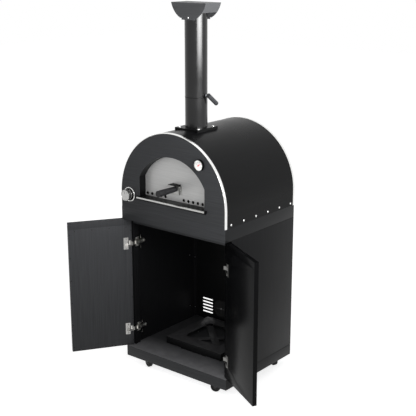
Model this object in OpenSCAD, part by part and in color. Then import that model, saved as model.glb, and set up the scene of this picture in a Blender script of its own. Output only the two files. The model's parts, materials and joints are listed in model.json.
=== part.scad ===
// Gas pizza oven with a chimney, standing on a two-door cabinet cart.
// Millimetres, Z up. The origin lies on the ground under the centre of the cabinet.
// X runs from the left door to the right door, and Y from the front to the back.

/* [Cabinet] */
// Width of the cabinet over its side panels
cab_w = 650; // [600:1:700]
// Depth of the cabinet from plinth front to back panel
cab_d = 542; // [500:1:580]
// Height of the plinth
plinth_h = 54.5; // [45:0.5:65]
// Height of the side panels from the plinth to the header
panel_h = 686.5; // [620:0.5:740]
// Clear height under the plinth
ground_clear = 54; // [50:1:60]
// Thickness of the sheet metal
sheet_t = 1.5; // [1.2:0.1:2]
// Width of the folded front posts
post_w = 27; // [24:1:32]
// Depth of the folded front posts
post_d = 36; // [34:1:44]
// Width of the folded flanges along the panels
flange_w = 15; // [12:1:18]
// Width of the rear flanges that hold the back panel
rear_flange_w = 21.5; // [18:0.5:26]
// Height of the rail over the doors
top_rail_h = 31; // [26:1:36]
// Depth of the rail over the doors
top_rail_d = 22; // [16:1:28]

/* [Castors] */
// Distance of the swivel axes from the cabinet sides
castor_inset_x = 80; // [72:1:100]
// Distance of the swivel axes from the cabinet front and back
castor_inset_y = 60; // [58:1:90]
// Diameter of the wheels
wheel_d = 50; // [46:1:54]
// Width of the wheel treads
wheel_w = 20; // [16:1:24]
// Radius of the rounding on the treads
tread_round = 4; // [2:0.5:6]
// Distance from the swivel axis to the wheel axle
castor_trail = 25; // [20:1:30]
// Overall height of a castor
castor_h = 72; // [68:1:76]
// Diameter of the axles
axle_d = 6; // [5:0.5:8]
// Diameter of the swivel pins
kingpin_d = 8; // [7:0.5:10]
// Thickness of the castor plates
castor_plate_t = 3; // [2:0.5:4]
// Side of the square castor plates
castor_plate_w = 64; // [56:1:72]
// Thickness of the fork metal
fork_t = 2.5; // [2:0.25:3]
// Width of the channels that carry the castors
channel_w = 76; // [72:1:90]
// Direction in which the wheels trail at rest: front left, front right, rear left, rear right
castor_angles = [-18, 199, -18, -18]; // [-360:1:360]

/* [Back panel] */
// Length of the vent slots
slot_l = 70; // [50:1:90]
// Height of the vent slots
slot_h = 8; // [6:0.5:10]
// Distance between vent slots
slot_pitch = 18.9; // [16:0.1:22]
// Number of vent slots
slot_count = 5; // [2:1:7]
// Distance of the slots from the left side of the cabinet
slot_inset = 64.5; // [50:0.5:100]
// Height of the middle slot over the plinth
slot_height = 78; // [70:1:120]
// Radius of the hose port
port_r = 45; // [38:1:50]
// Distance of the port centre from the left side of the cabinet
port_inset = 193; // [190:1:260]
// Height of the port centre over the plinth
port_height = 79.5; // [60:0.5:120]
// Overlap of the port grommet on the panel
grommet_lip = 4; // [3:0.5:6]
// Thickness of each lip of the port grommet
grommet_t = 2.5; // [2:0.25:4]
// Width of the crossed slits in the port grommet
grommet_slit = 2; // [1:0.25:3]

/* [Tank tray] */
// Width of the tray
tray_w = 358; // [320:1:380]
// Depth of the tray
tray_d = 344; // [310:1:360]
// Height of the tray
tray_h = 41; // [34:1:50]
// Distance of the tray from the back of the cabinet
tray_back = 54; // [44:1:70]
// Width of the cut-out that takes the foot of the gas cylinder
tray_cut_w = 222; // [200:1:240]
// Depth of the cut-out
tray_cut_d = 206; // [190:1:230]
// Corner radius of the cut-out
tray_cut_r = 22; // [12:1:30]
// Height of the relief at both ends of each apron
tray_relief_h = 5; // [3:0.5:8]
// Length of the relief at both ends of each apron
tray_relief_l = 96; // [60:1:110]
// Width of the crossed straps under the cut-out
strap_w = 38; // [28:1:46]
// Thickness of the crossed straps
strap_t = 2; // [1.5:0.25:3]
// Height of the straps' upper face over the plinth
strap_z = 20; // [12:1:28]

/* [Doors] */
// Thickness of the doors
door_t = 21; // [19.5:0.25:22]
// Distance of the closed doors behind the plinth front
door_setback = 14; // [10:0.5:20]
// Clearance between the closed doors and the posts
door_gap = 3.5; // [3.25:0.25:5]
// Distance of the hinge edges from the cabinet sides
door_edge = 4; // [2:0.5:6]
// Clearance between the two closed doors
door_centre_gap = 3; // [2:0.5:5]
// Clearance over and under the doors
door_end_gap = 3; // [2:0.5:5]
// Height of the folded band along the top of each door
door_band_h = 34; // [28:1:40]
// Depth of the groove along the top of each door
door_groove = 3; // [2:0.5:6]
// Opening angle of the left door at rest
left_angle = 123.5; // [0:0.5:155]
// Opening angle of the right door at rest
right_angle = 151.3; // [0:0.1:155]

/* [Hinges] */
// Distance of the hinge pins from the hinge edges
pin_edge = 8.5; // [7.5:0.25:8.75]
// Depth of the hinge pins behind the inner door faces
pin_depth = 10.6; // [10.25:0.1:11]
// Diameter of the hinge pins
pin_d = 6; // [5:0.5:7]
// Radius of the knuckles round the pins
knuckle_r = 6; // [5.5:0.25:6.5]
// Height of the lower hinges over the plinth
hinge_low = 94; // [80:1:140]
// Distance of the upper hinges under the side panel tops
hinge_high = 133; // [120:1:200]
// Height of the hinge arms
arm_h = 18; // [14:1:22]
// Thickness of the hinge arms
arm_t = 5; // [4:0.5:5.5]
// Length of the hinge arms behind the post fronts
arm_l = 66; // [56:1:76]
// Depth of the arm bodies on the posts
arm_body = 9; // [7:0.5:12]
// Thickness of the mounting wings
wing_t = 2.5; // [2:0.25:3]
// Height of the mounting wings
wing_h = 47; // [40:1:54]
// Width of the mounting wings
wing_w = 26; // [18:1:28]
// Height of the cup plates on the doors
cup_plate_h = 61; // [52:1:66]
// Width of the cup plates on the doors
cup_plate_w = 21.5; // [19:0.5:24]
// Distance of the cup plates from the hinge edges
cup_plate_edge = 18.5; // [17:0.5:20]
// Thickness of the cup plates
cup_plate_t = 1.5; // [1:0.1:2]
// Width of the hinge pockets
pocket_w = 40; // [37:0.5:43]
// Depth of the hinge pockets
pocket_d = 18; // [17.5:0.1:18.25]
// Height inside the hinge pockets
pocket_h = 27; // [24:0.5:30]
// Wall of the hinge pockets
pocket_t = 1.2; // [1:0.05:1.25]
// Screw diameter of the hinges
hinge_screw_d = 4; // [3:0.5:5]

/* [Magnets] */
// Distance of each magnet from the middle of the rail
magnet_x = 28; // [20:1:60]
// Width of the magnets
magnet_w = 14; // [10:1:20]
// Height of the magnets
magnet_h = 6; // [5:0.5:8]
// Length of the magnets behind the rail front
magnet_l = 12; // [8:1:18]
// Height of the magnets over the lower edge of the rail
magnet_z = 8.5; // [7:0.5:16]

/* [Header] */
// Height of the header between the cabinet and the oven
header_h = 64; // [54:1:74]
// Distance by which the header and the oven face stand out over the plinth
overhang = 12; // [8:1:16]
// Height of the header upstands that the shell is screwed to
upstand_h = 26; // [22:1:34]

/* [Oven shell] */
// Height of the straight legs under the arch
leg_h = 78; // [60:1:100]
// Width of the trim along the edges of the arch
trim_w = 2.5; // [2:0.5:6]
// Depth of the trim over the edges of the shell
trim_d = 12; // [8:0.5:16]
// Thickness of the trim
trim_t = 1.2; // [1:0.1:1.5]
// Height of the side screws over the header
side_screw_z = 13.6; // [11:0.1:16]
// Distance of the first side screw from the plinth front
side_screw_first = 32.3; // [28:0.1:40]
// Distance of the last side screw from the back of the cabinet
side_screw_last = 31.7; // [28:0.1:40]
// Number of screws on each side
side_screw_count = 6; // [2:1:6]
// Shank diameter of the side screws
side_screw_d = 5; // [4:0.5:6]
// Head diameter of the side screws
side_head_d = 11; // [9:0.5:13]
// Head height of the side screws
side_head_h = 3; // [2:0.25:4]
// Shank length of the side screws
side_screw_l = 12; // [9:1:16]

/* [Oven mouth] */
// Width of the oven face beside the mouth
mouth_side = 122; // [120:1:135]
// Excess of the radius over the mouth past half the width of the mouth
mouth_bulge = 28; // [22:1:34]
// Height of the arch centre over the header
mouth_arc_z = 58; // [54:1:64]
// Height of the lower edge of the mouth over the header
mouth_sill_z = 61; // [57:1:65]
// Depth of the tunnel behind the oven face
tunnel_d = 56.5; // [54:0.5:60]
// Height of the shelf top over the lower edge of the mouth
shelf_rise = 8; // [6:0.5:10]
// Overhang of the shelf past each side of the mouth
shelf_side = 11; // [9:0.5:12]
// Distance of the bar axis in front of the oven face
bar_front = 10; // [8:0.5:14]
// Radius of the bar
bar_r = 5.25; // [4:0.25:6]
// Radius of the bar end plates
ear_r = 7.5; // [6.5:0.25:9]
// Thickness of the bar end plates
ear_t = 3; // [2:0.25:4]
// Height of the shelf flange on the oven face
shelf_flange_h = 10; // [7:0.5:12]

/* [Oven chamber] */
// Thickness of the insulation round the chamber
insulation_t = 42; // [34:1:44]
// Height of the chamber floor over the header
chamber_z = 46; // [42:1:50]
// Clearance between the insulation and the back plate
back_gap = 24; // [12:1:40]
// Thickness of the baking stone
stone_t = 20; // [15:1:22]
// Clearance round the baking stone
stone_gap = 6; // [4:1:12]
// Radius of the burner tube
burner_r = 9; // [7:0.5:11]
// Distance of the burner tube's end from the back of the chamber
burner_back = 68.5; // [40:0.5:120]
// Distance of the burner axis from the chamber wall
burner_inset = 28; // [22:1:36]
// Height of the burner axis over the stone
burner_rise = 22; // [18:1:30]
// Radius of the flame ports
flame_port_r = 2; // [1.5:0.25:2.5]
// Number of flame ports
flame_port_count = 16; // [6:1:20]

/* [Oven door] */
// Distance of the door front behind the oven face
door_recess = 42; // [38:1:46]
// Thickness of the oven door over its folded rim
oven_door_t = 13; // [10:0.5:14]
// Clearance between the oven door and the tunnel
oven_door_gap = 1.5; // [1:0.25:3]
// Clearance between the oven door and the shelf
oven_door_lift = 0.5; // [0.3:0.1:1.5]
// Radius of the air holes in the oven door
air_hole_r = 6.5; // [5:0.25:7.5]
// Distance of the outermost air holes from the sides of the mouth
air_hole_inset = 15.8; // [14:0.1:22]
// Number of places for air holes across the mouth
air_places = 14; // [13:1:16]
// Height of the air holes over the lower edge of the oven door
air_hole_z = 12.5; // [10:0.5:16]
// Number of air holes on the right
air_count_right = 6; // [1:1:6]
// Number of air holes on the left
air_count_left = 5; // [1:1:5]
// Height of the grip axis over the shelf
grip_z = 64; // [55:1:80]
// Length of the grip
grip_l = 124; // [100:1:140]
// Radius of the grip at its rear end
grip_rear_r = 13; // [11:0.5:14]
// Radius of the grip at its front end
grip_front_r = 15; // [13:0.5:17]
// Rounding of the grip ends
grip_round = 3; // [2:0.5:4]
// Width of the grip bracket
bracket_w = 64; // [56:1:72]
// Height of the grip bracket
bracket_h = 40; // [34:1:46]
// Thickness of the bracket metal
bracket_t = 2; // [1.5:0.25:3]
// Distance of the grip from the oven door
bracket_d = 11; // [9:0.5:14]
// Height of the bracket's lower edge over the shelf
bracket_z = 37; // [30:1:44]
// Width of the heat shield over the grip
shield_w = 52; // [44:1:60]
// Depth of the heat shield
shield_d = 34; // [28:1:40]
// Thickness of the heat shield
shield_t = 2.5; // [1.5:0.25:3]
// Height of the heat shield's flange on the oven door
shield_flange = 7; // [5:0.5:10]

/* [Gas controls] */
// Height of the knob axis over the header
knob_z = 69; // [64:1:76]
// Radius of the knob
knob_r = 28.5; // [25:0.5:30]
// Length of the knob
knob_l = 26; // [22:1:30]
// Chamfer of the knob front
knob_chamfer = 3; // [2:0.5:4]
// Clearance behind the knob
knob_gap = 5; // [4:0.5:7]
// Travel of the knob when it is pushed in
knob_push = 3; // [2:0.5:3.5]
// Outer radius of the bezel
bezel_r = 37; // [34:0.5:39]
// Width of the raised ring of the bezel
bezel_ring = 5.5; // [4:0.5:7]
// Height of the raised ring of the bezel
bezel_h = 4; // [3:0.5:5]
// Radius of the valve stem
stem_r = 4; // [3:0.25:5]
// Depth of the stem in the knob
stem_in_knob = 18; // [12:1:20]
// Width of the valve body
valve_w = 30; // [26:1:34]
// Length of the valve body
valve_l = 32; // [28:1:33]
// Radius of the gas pipes
pipe_r = 5; // [4:0.5:6]
// Distance of the inlet pipe behind the oven face
inlet_front = 28; // [24:1:34]
// Depth of the inlet run under the oven floor
inlet_drop = 28; // [22:1:34]
// Distance of the inlet's lower end behind the oven face
inlet_back = 93; // [88:1:110]
// Length of the inlet under the header
inlet_below = 24; // [18:1:30]
// Radius of the inlet thread
inlet_thread_r = 8; // [6.5:0.25:9]
// Length of the inlet thread
inlet_thread_l = 14; // [10:1:18]
// Width of the inlet nut across its flats
inlet_nut = 22; // [20:1:26]

/* [Thermometer] */
// Distance of the thermometer inside the edge of the arch
gauge_inset = 55.8; // [50:0.1:62]
// Direction of the thermometer from the centre of the arch
gauge_angle = 48.6; // [40:0.1:60]
// Radius of the thermometer case
gauge_r = 26.5; // [22:0.5:30]
// Depth of the thermometer case
gauge_d = 15; // [12:0.5:18]
// Rim of the thermometer case
gauge_rim = 1.2; // [1:0.1:2]
// Depth of the dial behind the rim
gauge_well = 5; // [4:0.25:6]
// Thickness of the dial
dial_t = 1; // [0.8:0.1:1.5]
// Radius of the needle hub
needle_hub_r = 3; // [2:0.25:4]
// Length of the needle
needle_l = 17; // [14:0.5:19]
// Width of the needle
needle_w = 2.4; // [1.5:0.1:3]
// Thickness of the needle
needle_t = 1; // [0.6:0.1:1.25]
// Angle of the needle at rest, measured from the right
needle_angle = 35; // [-40:1:220]
// Radius of the thermometer's spindle
spindle_r = 1.2; // [1:0.1:1.5]
// Radius of the thermometer's probe
probe_r = 3; // [2:0.25:4]
// Length of the thermometer's probe
probe_l = 90; // [75:1:130]

/* [Flue] */
// Distance of the flue axis behind the plinth front
flue_y = 176; // [160:1:190]
// Outer radius of the flue pipes
flue_r = 53.5; // [48:0.5:56]
// Width of the flue base
flue_base_w = 140; // [130:1:150]
// Depth of the flue base
flue_base_d = 152; // [140:1:160]
// Height of the flue base over the top of the arch
flue_base_top = 7; // [5:0.5:10]
// Height of the flue base's skirt
skirt_h = 19; // [14:0.5:24]
// Height of the seam between the two pipes over the flue base
seam_h = 143.5; // [120:0.5:160]
// Height of the upper pipe
upper_pipe_h = 406.5; // [360:0.5:460]
// Length of the overlaps between the pipes
neck_l = 25; // [20:1:32]
// Radial clearance between nested pipes
neck_gap = 0.3; // [0.2:0.05:0.5]
// Distance of the flue bolts from the left and right edges of the base
flue_bolt_inset_x = 12; // [9:1:15]
// Distance of the flue bolts from the front and back edges of the base
flue_bolt_inset_y = 21.5; // [12:0.5:26]
// Shank diameter of the flue bolts
flue_bolt_d = 6; // [5:0.5:8]
// Head diameter of the flue bolts
flue_head_d = 11; // [9:0.5:13]
// Head height of the flue bolts
flue_head_h = 4; // [3:0.5:5]
// Height of the damper axis over the seam
damper_z = 10.5; // [9:0.5:20]
// Radial clearance of the damper flap
damper_gap = 3; // [2.5:0.25:4]
// Thickness of the damper flap
damper_t = 2; // [1.5:0.25:3]
// Diameter of the damper shaft
shaft_d = 6; // [5:0.5:8]
// Distance of the damper handle's axis from the pipe
handle_out = 23; // [18:1:26]
// Radius of the damper handle
handle_r = 10.5; // [8:0.5:12]
// Length of the damper handle
handle_l = 80; // [60:1:84]
// Slope of the damper handle at rest
damper_angle = 37; // [0:1:90]
// Length of the damper bush
bush_l = 6; // [4:0.5:8]

/* [Chimney cap] */
// Width of the cap
cap_w = 207; // [190:1:220]
// Height of the cap from its tabs to its top
cap_h = 78; // [72:1:84]
// Height of the curve centre over the cap top
cap_arc_rise = 25; // [18:1:32]
// Distance of the cap top over the upper pipe
cap_over = 30; // [24:1:36]
// Height of the curved side sheets
cap_side_h = 45; // [36:1:52]
// Half width of the lower tabs
cap_tab = 40; // [34:1:44]
// Height of the lower tabs
cap_tab_h = 16; // [14:1:20]
// Thickness of the cap sheet
cap_t = 2; // [1.5:0.25:2.5]
// Distance of the rivets over the lower edge of the tabs
rivet_z = 10; // [8:0.5:12]
// Head radius of the rivets
rivet_r = 4; // [3:0.25:5]
// Head height of the rivets
rivet_h = 2; // [1.5:0.25:3]
// Shank radius of the rivets
rivet_shank_r = 2; // [1.5:0.1:2.5]

/* [Clearances] */
// Running clearance round pins, shafts and stems
run_gap = 0.05; // [0.02:0.01:0.09]
// Clearance between parts that move past each other
side_gap = 0.4; // [0.3:0.05:0.6]
// Clearance between fixed parts that lie in one another
fit_gap = 0.3; // [0.2:0.05:0.4]

/* [Hidden] */
$fn = 96;

// One overrun for every cut, tied to the sheet so that it scales with it
cut = sheet_t;

// Heights
z_base = ground_clear;
z_floor = z_base + plinth_h;
z_seam = z_floor + panel_h;
z_header = z_seam + header_h;
z_arch = z_header + leg_h;
z_apex = z_arch + cab_w / 2;

// Depths
y_front = -cab_d / 2;
y_back = cab_d / 2;
y_face = y_front - overhang;
y_post = y_front + door_setback + door_t + door_gap;
y_behind_face = y_face + sheet_t;
y_before_back = y_back - sheet_t;
y_tray = y_back - tray_back - tray_d / 2;

// Doors
door_w = cab_w / 2 - door_edge - door_centre_gap / 2;
door_z = z_floor + door_end_gap;
door_h = panel_h - 2 * door_end_gap;
pin_x = -cab_w / 2 + door_edge + pin_edge;
pin_y = y_front + door_setback + door_t - pin_depth;
hinge_zs = [z_floor + hinge_low, z_seam - hinge_high];
pocket_edge = pocket_t;
pocket_outer_h = pocket_h + 2 * pocket_t;

// Oven
shell_r = cab_w / 2;
shell_in_r = shell_r - sheet_t;
liner_out_r = shell_in_r - insulation_t - 2 * fit_gap;
liner_r = liner_out_r - sheet_t;
z_chamber = z_header + chamber_z;
y_tunnel_end = y_face + tunnel_d;
chamber_l = y_before_back - back_gap - insulation_t - y_tunnel_end;
burner_l = chamber_l - sheet_t - burner_back;
y_chamber_end = y_tunnel_end + chamber_l;
mouth_w = cab_w - 2 * mouth_side;
mouth_r = mouth_w / 2 + mouth_bulge;
z_mouth = z_header + mouth_sill_z;
z_mouth_arc = z_header + mouth_arc_z;
z_shelf = z_mouth + shelf_rise;
z_stone = z_chamber + sheet_t + stone_t;
y_oven_door = y_face + door_recess;
y_flue = y_front + flue_y;
z_grip = z_shelf + grip_z;
x_burner = -liner_r + burner_inset;
z_burner = z_stone + burner_rise;
air_hole_pitch = (mouth_w - 2 * air_hole_inset) / (air_places - 1);
side_screw_pitch = (cab_d - side_screw_first - side_screw_last) / (side_screw_count - 1);

// Gas controls and thermometer
knob_x = cab_w / 2 - (mouth_side - shelf_side - ear_t) / 2;
z_knob = z_header + knob_z;
y_bezel = y_face - bezel_h;
y_knob_back = y_bezel - knob_gap;
gauge_x = (shell_r - gauge_inset) * cos(gauge_angle);
z_gauge = z_arch + (shell_r - gauge_inset) * sin(gauge_angle);
y_pipe_out = y_behind_face + valve_l;
y_burner_end = y_tunnel_end - burner_r;
y_pipe_turn = (y_pipe_out + y_burner_end) / 2;
elbow_r = y_pipe_turn - y_pipe_out - fit_gap;

// Flue
flue_in_r = flue_r - sheet_t;
neck_r = flue_in_r - neck_gap;
z_flue_base = z_apex + flue_base_top;
z_pipe_seam = z_flue_base + seam_h;
z_pipe_top = z_pipe_seam + upper_pipe_h;
z_damper = z_pipe_seam + damper_z;
z_cap = z_pipe_top + cap_over;
cap_r = sqrt(pow(cap_w / 2, 2) + pow(cap_arc_rise, 2));
cap_half_d = flue_r + fit_gap + cap_t;
z_rivet = z_cap - cap_h + rivet_z;
rivet_in = sqrt(pow(flue_in_r, 2) - pow(rivet_r, 2)) - run_gap;
damper_r = flue_in_r - damper_gap;

// Castors
castor_xs = [-1, 1, -1, 1];
castor_ys = [-1, -1, 1, 1];
wheel_r = wheel_d / 2;
hub_w = wheel_w + 2 * side_gap;
fork_in = hub_w / 2 + side_gap;
bearing_h = kingpin_d * 1.3;
crown_top = castor_h - castor_plate_t - bearing_h;
crown_bottom = crown_top - fork_t;
crown_r = fork_in + fork_t;

// A box given by its low and high corners
module box(low, high) {
    translate(low)
        cube(high - low);
}

// A cylinder along Y from y0 to y1
module rod_y(x, z, r, y0, y1) {
    translate([x, y0, z])
        rotate([-90, 0, 0])
            cylinder(r = r, h = y1 - y0);
}

// A cylinder along X from x0 to x1
module rod_x(y, z, r, x0, x1) {
    translate([x0, y, z])
        rotate([0, 90, 0])
            cylinder(r = r, h = x1 - x0);
}

// A cylinder along Z from z0 to z1
module rod_z(x, y, r, z0, z1) {
    translate([x, y, z0])
        cylinder(r = r, h = z1 - z0);
}

// An outline in X and Z, extruded along Y from y0 to y1
module slab_y(y0, y1) {
    translate([0, y1, 0])
        rotate([90, 0, 0])
            linear_extrude(y1 - y0)
                children();
}

// The outline of the oven: straight legs under a half circle
module arch(r, low) {
    translate([0, z_arch])
        intersection() {
            circle(r, $fn = 180);
            translate([-r, 0])
                square([2 * r, r]);
        }
    translate([-r, low])
        square([2 * r, z_arch - low]);
}

// The outline of the mouth, grown by a distance on every side
module mouth(grow, low) {
    intersection() {
        translate([0, z_mouth_arc])
            circle(mouth_r + grow, $fn = 180);
        translate([-mouth_w / 2 - grow, low])
            square([mouth_w + 2 * grow, z_mouth_arc + mouth_r + grow - low]);
    }
}

// A slot with round ends, lying along X
module slot(l, h) {
    square([l - h, h], center = true);
    for (side = [-1, 1])
        translate([side * (l - h) / 2, 0])
            circle(h / 2, $fn = 32);
}

// A rectangle with round corners, centred
module round_rect(w, d, r) {
    square([w - 2 * r, d], center = true);
    square([w, d - 2 * r], center = true);
    for (sx = [-1, 1])
        for (sy = [-1, 1])
            translate([sx * (w / 2 - r), sy * (d / 2 - r)])
                circle(r, $fn = 48);
}

// Cabinet

module base_pan() {
    color([0.23, 0.24, 0.25])
        difference() {
            box([-cab_w / 2, y_front, z_base], [cab_w / 2, y_back, z_floor]);
            box([-cab_w / 2 + sheet_t, y_front + sheet_t, z_base - cut],
                [cab_w / 2 - sheet_t, y_back - sheet_t, z_floor - sheet_t]);
        }
}

// Two channels under the floor, one for each pair of castors
module castor_channels() {
    color([0.2, 0.2, 0.21])
        for (side = [-1, 1])
            translate([0, side * (cab_d / 2 - castor_inset_y), 0])
                difference() {
                    box([-cab_w / 2 + sheet_t, -channel_w / 2, castor_h],
                        [cab_w / 2 - sheet_t, channel_w / 2, z_floor - sheet_t]);
                    box([-cab_w / 2, -channel_w / 2 + fork_t, castor_h + fork_t],
                        [cab_w / 2, channel_w / 2 - fork_t, z_floor]);
                }
}

// One side of the cabinet with its folded front post and its flanges
module side_panel() {
    x = -cab_w / 2;
    // outer sheet
    box([x, y_post, z_floor], [x + sheet_t, y_before_back, z_seam]);
    // front of the post
    box([x, y_post, z_floor], [x + post_w, y_post + sheet_t, z_seam]);
    // inner side of the post
    box([x + post_w - sheet_t, y_post, z_floor], [x + post_w, y_post + post_d, z_seam]);
    // return at the back of the post
    box([x + post_w - rear_flange_w / 2, y_post + post_d - sheet_t, z_floor],
        [x + post_w, y_post + post_d, z_seam]);
    // rear flange
    box([x, y_before_back - sheet_t, z_floor], [x + rear_flange_w, y_before_back, z_seam]);
    // lower and upper flanges
    for (z = [z_floor, z_seam - sheet_t])
        box([x, y_post, z], [x + flange_w, y_before_back, z + sheet_t]);
}

module left_side_panel() {
    color([0.15, 0.155, 0.16])
        side_panel();
}

module right_side_panel() {
    color([0.15, 0.155, 0.16])
        mirror([1, 0, 0])
            side_panel();
}

module back_panel() {
    color([0.13, 0.13, 0.14])
        difference() {
            box([-cab_w / 2, y_before_back, z_floor], [cab_w / 2, y_back, z_seam]);
            for (i = [0 : slot_count - 1])
                translate([-cab_w / 2 + slot_inset + slot_l / 2, 0,
                    z_floor + slot_height + (i - (slot_count - 1) / 2) * slot_pitch])
                    slab_y(y_before_back - cut, y_back + cut)
                        slot(slot_l, slot_h);
            rod_y(-cab_w / 2 + port_inset, z_floor + port_height, port_r,
                y_before_back - cut, y_back + cut);
        }
}

// Rubber grommet with a slit cross, through which the gas hose passes
module hose_grommet() {
    x = -cab_w / 2 + port_inset;
    z = z_floor + port_height;
    color([0.07, 0.07, 0.07])
        difference() {
            union() {
                rod_y(x, z, port_r + grommet_lip, y_before_back - grommet_t, y_before_back);
                rod_y(x, z, port_r - fit_gap, y_before_back - grommet_t, y_back + grommet_t);
                rod_y(x, z, port_r + grommet_lip, y_back, y_back + grommet_t);
            }
            rod_y(x, z, port_r - 2 * grommet_lip, y_before_back - grommet_t - cut,
                y_before_back - grommet_t / 2);
            rod_y(x, z, port_r - 2 * grommet_lip, y_back + grommet_t / 2, y_back + grommet_t + cut);
            for (turn = [0, 90])
                translate([x, 0, z])
                    rotate([0, turn, 0])
                        box([-port_r + 3 * grommet_lip, y_before_back - grommet_t, -grommet_slit / 2],
                            [port_r - 3 * grommet_lip, y_back + grommet_t, grommet_slit / 2]);
        }
}

// Rail over the doors, open to the back, with windows for the magnets
module top_rail() {
    x = cab_w / 2 - post_w;
    low = z_seam - top_rail_h;
    color([0.2, 0.2, 0.21])
        difference() {
            union() {
                box([-x, y_post, low], [x, y_post + sheet_t, z_seam]);
                box([-x, y_post, low], [x, y_post + top_rail_d, low + sheet_t]);
                box([-x, y_post, z_seam - sheet_t], [x, y_post + top_rail_d, z_seam]);
            }
            for (side = [-1, 1])
                translate([side * magnet_x, y_post + sheet_t / 2, low + magnet_z])
                    cube([magnet_w, 2 * cut, magnet_h], center = true);
        }
}

module magnet_catches() {
    low = z_seam - top_rail_h;
    lip = magnet_w / 8;
    color([0.06, 0.06, 0.06])
        for (side = [-1, 1])
            translate([side * magnet_x, 0, low + magnet_z]) {
                box([-magnet_w / 2, y_post - door_gap + 2 * side_gap, -magnet_h / 2],
                    [magnet_w / 2, y_post + sheet_t, magnet_h / 2]);
                box([-magnet_w / 2 - lip, y_post + sheet_t, -magnet_z + sheet_t],
                    [magnet_w / 2 + lip, y_post + magnet_l, magnet_h / 2 + lip]);
            }
}

// Low stand for the gas cylinder, cut out for its foot ring
module tank_tray() {
    color([0.2, 0.205, 0.21])
        translate([0, y_tray, z_floor])
            difference() {
                box([-tray_w / 2, -tray_d / 2, 0], [tray_w / 2, tray_d / 2, tray_h]);
                box([-tray_w / 2 + sheet_t, -tray_d / 2 + sheet_t, -cut],
                    [tray_w / 2 - sheet_t, tray_d / 2 - sheet_t, tray_h - sheet_t]);
                translate([0, 0, tray_h - 2 * sheet_t])
                    linear_extrude(sheet_t + 2 * cut)
                        round_rect(tray_cut_w, tray_cut_d, tray_cut_r);
                for (side = [-1, 1])
                    translate([side * (tray_w - tray_relief_l) / 2, 0, 0])
                        box([-tray_relief_l / 2 - cut, -tray_d / 2 - cut, -cut],
                            [tray_relief_l / 2 + cut, tray_d / 2 + cut, tray_relief_h]);
            }
}

// Two crossed straps that hang from the tray and carry the cylinder
module tray_straps() {
    reach = sqrt(pow(tray_cut_w, 2) + pow(tray_cut_d, 2)) + strap_w;
    turn = atan2(tray_cut_d, tray_cut_w);
    drop = tray_h - sheet_t - strap_z;
    color([0.22, 0.225, 0.23])
        translate([0, y_tray, z_floor + strap_z])
            for (side = [-1, 1])
                rotate([0, 0, side * turn]) {
                    translate([-reach / 2, -strap_w / 2, -strap_t])
                        cube([reach, strap_w, strap_t]);
                    for (end = [-1, 1])
                        translate([end * (reach - strap_t) / 2 - strap_t / 2, -strap_w / 2, -strap_t])
                            cube([strap_t, strap_w, drop + strap_t]);
                }
}

// Box between the cabinet and the oven, open underneath, with upstands for the shell
module header_frame() {
    color([0.22, 0.225, 0.235])
        difference() {
            union() {
                difference() {
                    box([-cab_w / 2, y_face, z_seam], [cab_w / 2, y_back, z_header]);
                    box([-cab_w / 2 + sheet_t, y_face + sheet_t, z_seam - cut],
                        [cab_w / 2 - sheet_t, y_back - sheet_t, z_header - sheet_t]);
                }
                // lip under the front and flanges on the side panels
                box([-cab_w / 2, y_face, z_seam], [cab_w / 2, y_face + flange_w, z_seam + sheet_t]);
                for (side = [-1, 1]) {
                    box([min(side * cab_w / 2, side * (cab_w / 2 - flange_w)), y_face, z_seam],
                        [max(side * cab_w / 2, side * (cab_w / 2 - flange_w)), y_back, z_seam + sheet_t]);
                    // upstand inside the shell
                    translate([side * (shell_in_r - fit_gap - sheet_t / 2), 0, z_header])
                        box([-sheet_t / 2, y_front + flange_w, 0],
                            [sheet_t / 2, y_back - flange_w, upstand_h]);
                }
            }
            // way for the gas inlet
            rod_z(-knob_x, y_face + inlet_front, pipe_r + side_gap, z_header - 2 * sheet_t, z_header + cut);
            // screw holes in the upstands
            for (i = [0 : side_screw_count - 1])
                rod_x(y_front + side_screw_first + i * side_screw_pitch, z_header + side_screw_z,
                    side_screw_d / 2 + fit_gap, -shell_r - cut, shell_r + cut);
        }
}

// Doors, drawn shut and then turned to their resting angles

module turn_left() {
    translate([pin_x, pin_y, 0])
        rotate([0, 0, -left_angle])
            translate([-pin_x, -pin_y, 0])
                children();
}

module turn_right() {
    translate([-pin_x, pin_y, 0])
        rotate([0, 0, right_angle])
            translate([pin_x, -pin_y, 0])
                mirror([1, 0, 0])
                    children();
}

// Corner of a shut left door: hinge edge, outer face, lower edge
door_low = [-cab_w / 2 + door_edge, y_front + door_setback, door_z];
door_high = door_low + [door_w, door_t, door_h];

// Space that the hinge pockets take from a door, open at the hinge edge
module pocket_space(grow) {
    for (z = hinge_zs)
        box([door_low[0] - cut, door_high[1] - pocket_d - pocket_t - grow, z - pocket_outer_h / 2 - grow],
            [door_low[0] + pocket_edge + pocket_w + pocket_t + grow, door_high[1] + cut,
            z + pocket_outer_h / 2 + grow]);
}

module door_outer() {
    difference() {
        box(door_low, door_high);
        // hollow behind the outer face
        box([door_low[0] + sheet_t, door_low[1] + sheet_t, door_low[2] + sheet_t],
            [door_high[0] - sheet_t, door_high[1] - sheet_t, door_high[2] - door_groove - sheet_t]);
        // room for the inner skin under the band
        box([door_low[0] - cut, door_high[1] - sheet_t, door_low[2] - cut],
            [door_high[0] + cut, door_high[1] + cut, door_high[2] - door_band_h]);
        // groove along the top
        box([door_low[0] - cut, door_low[1] + sheet_t, door_high[2] - door_groove],
            [door_high[0] + cut, door_high[1] - sheet_t, door_high[2] + cut]);
        pocket_space(fit_gap);
    }
}

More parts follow.
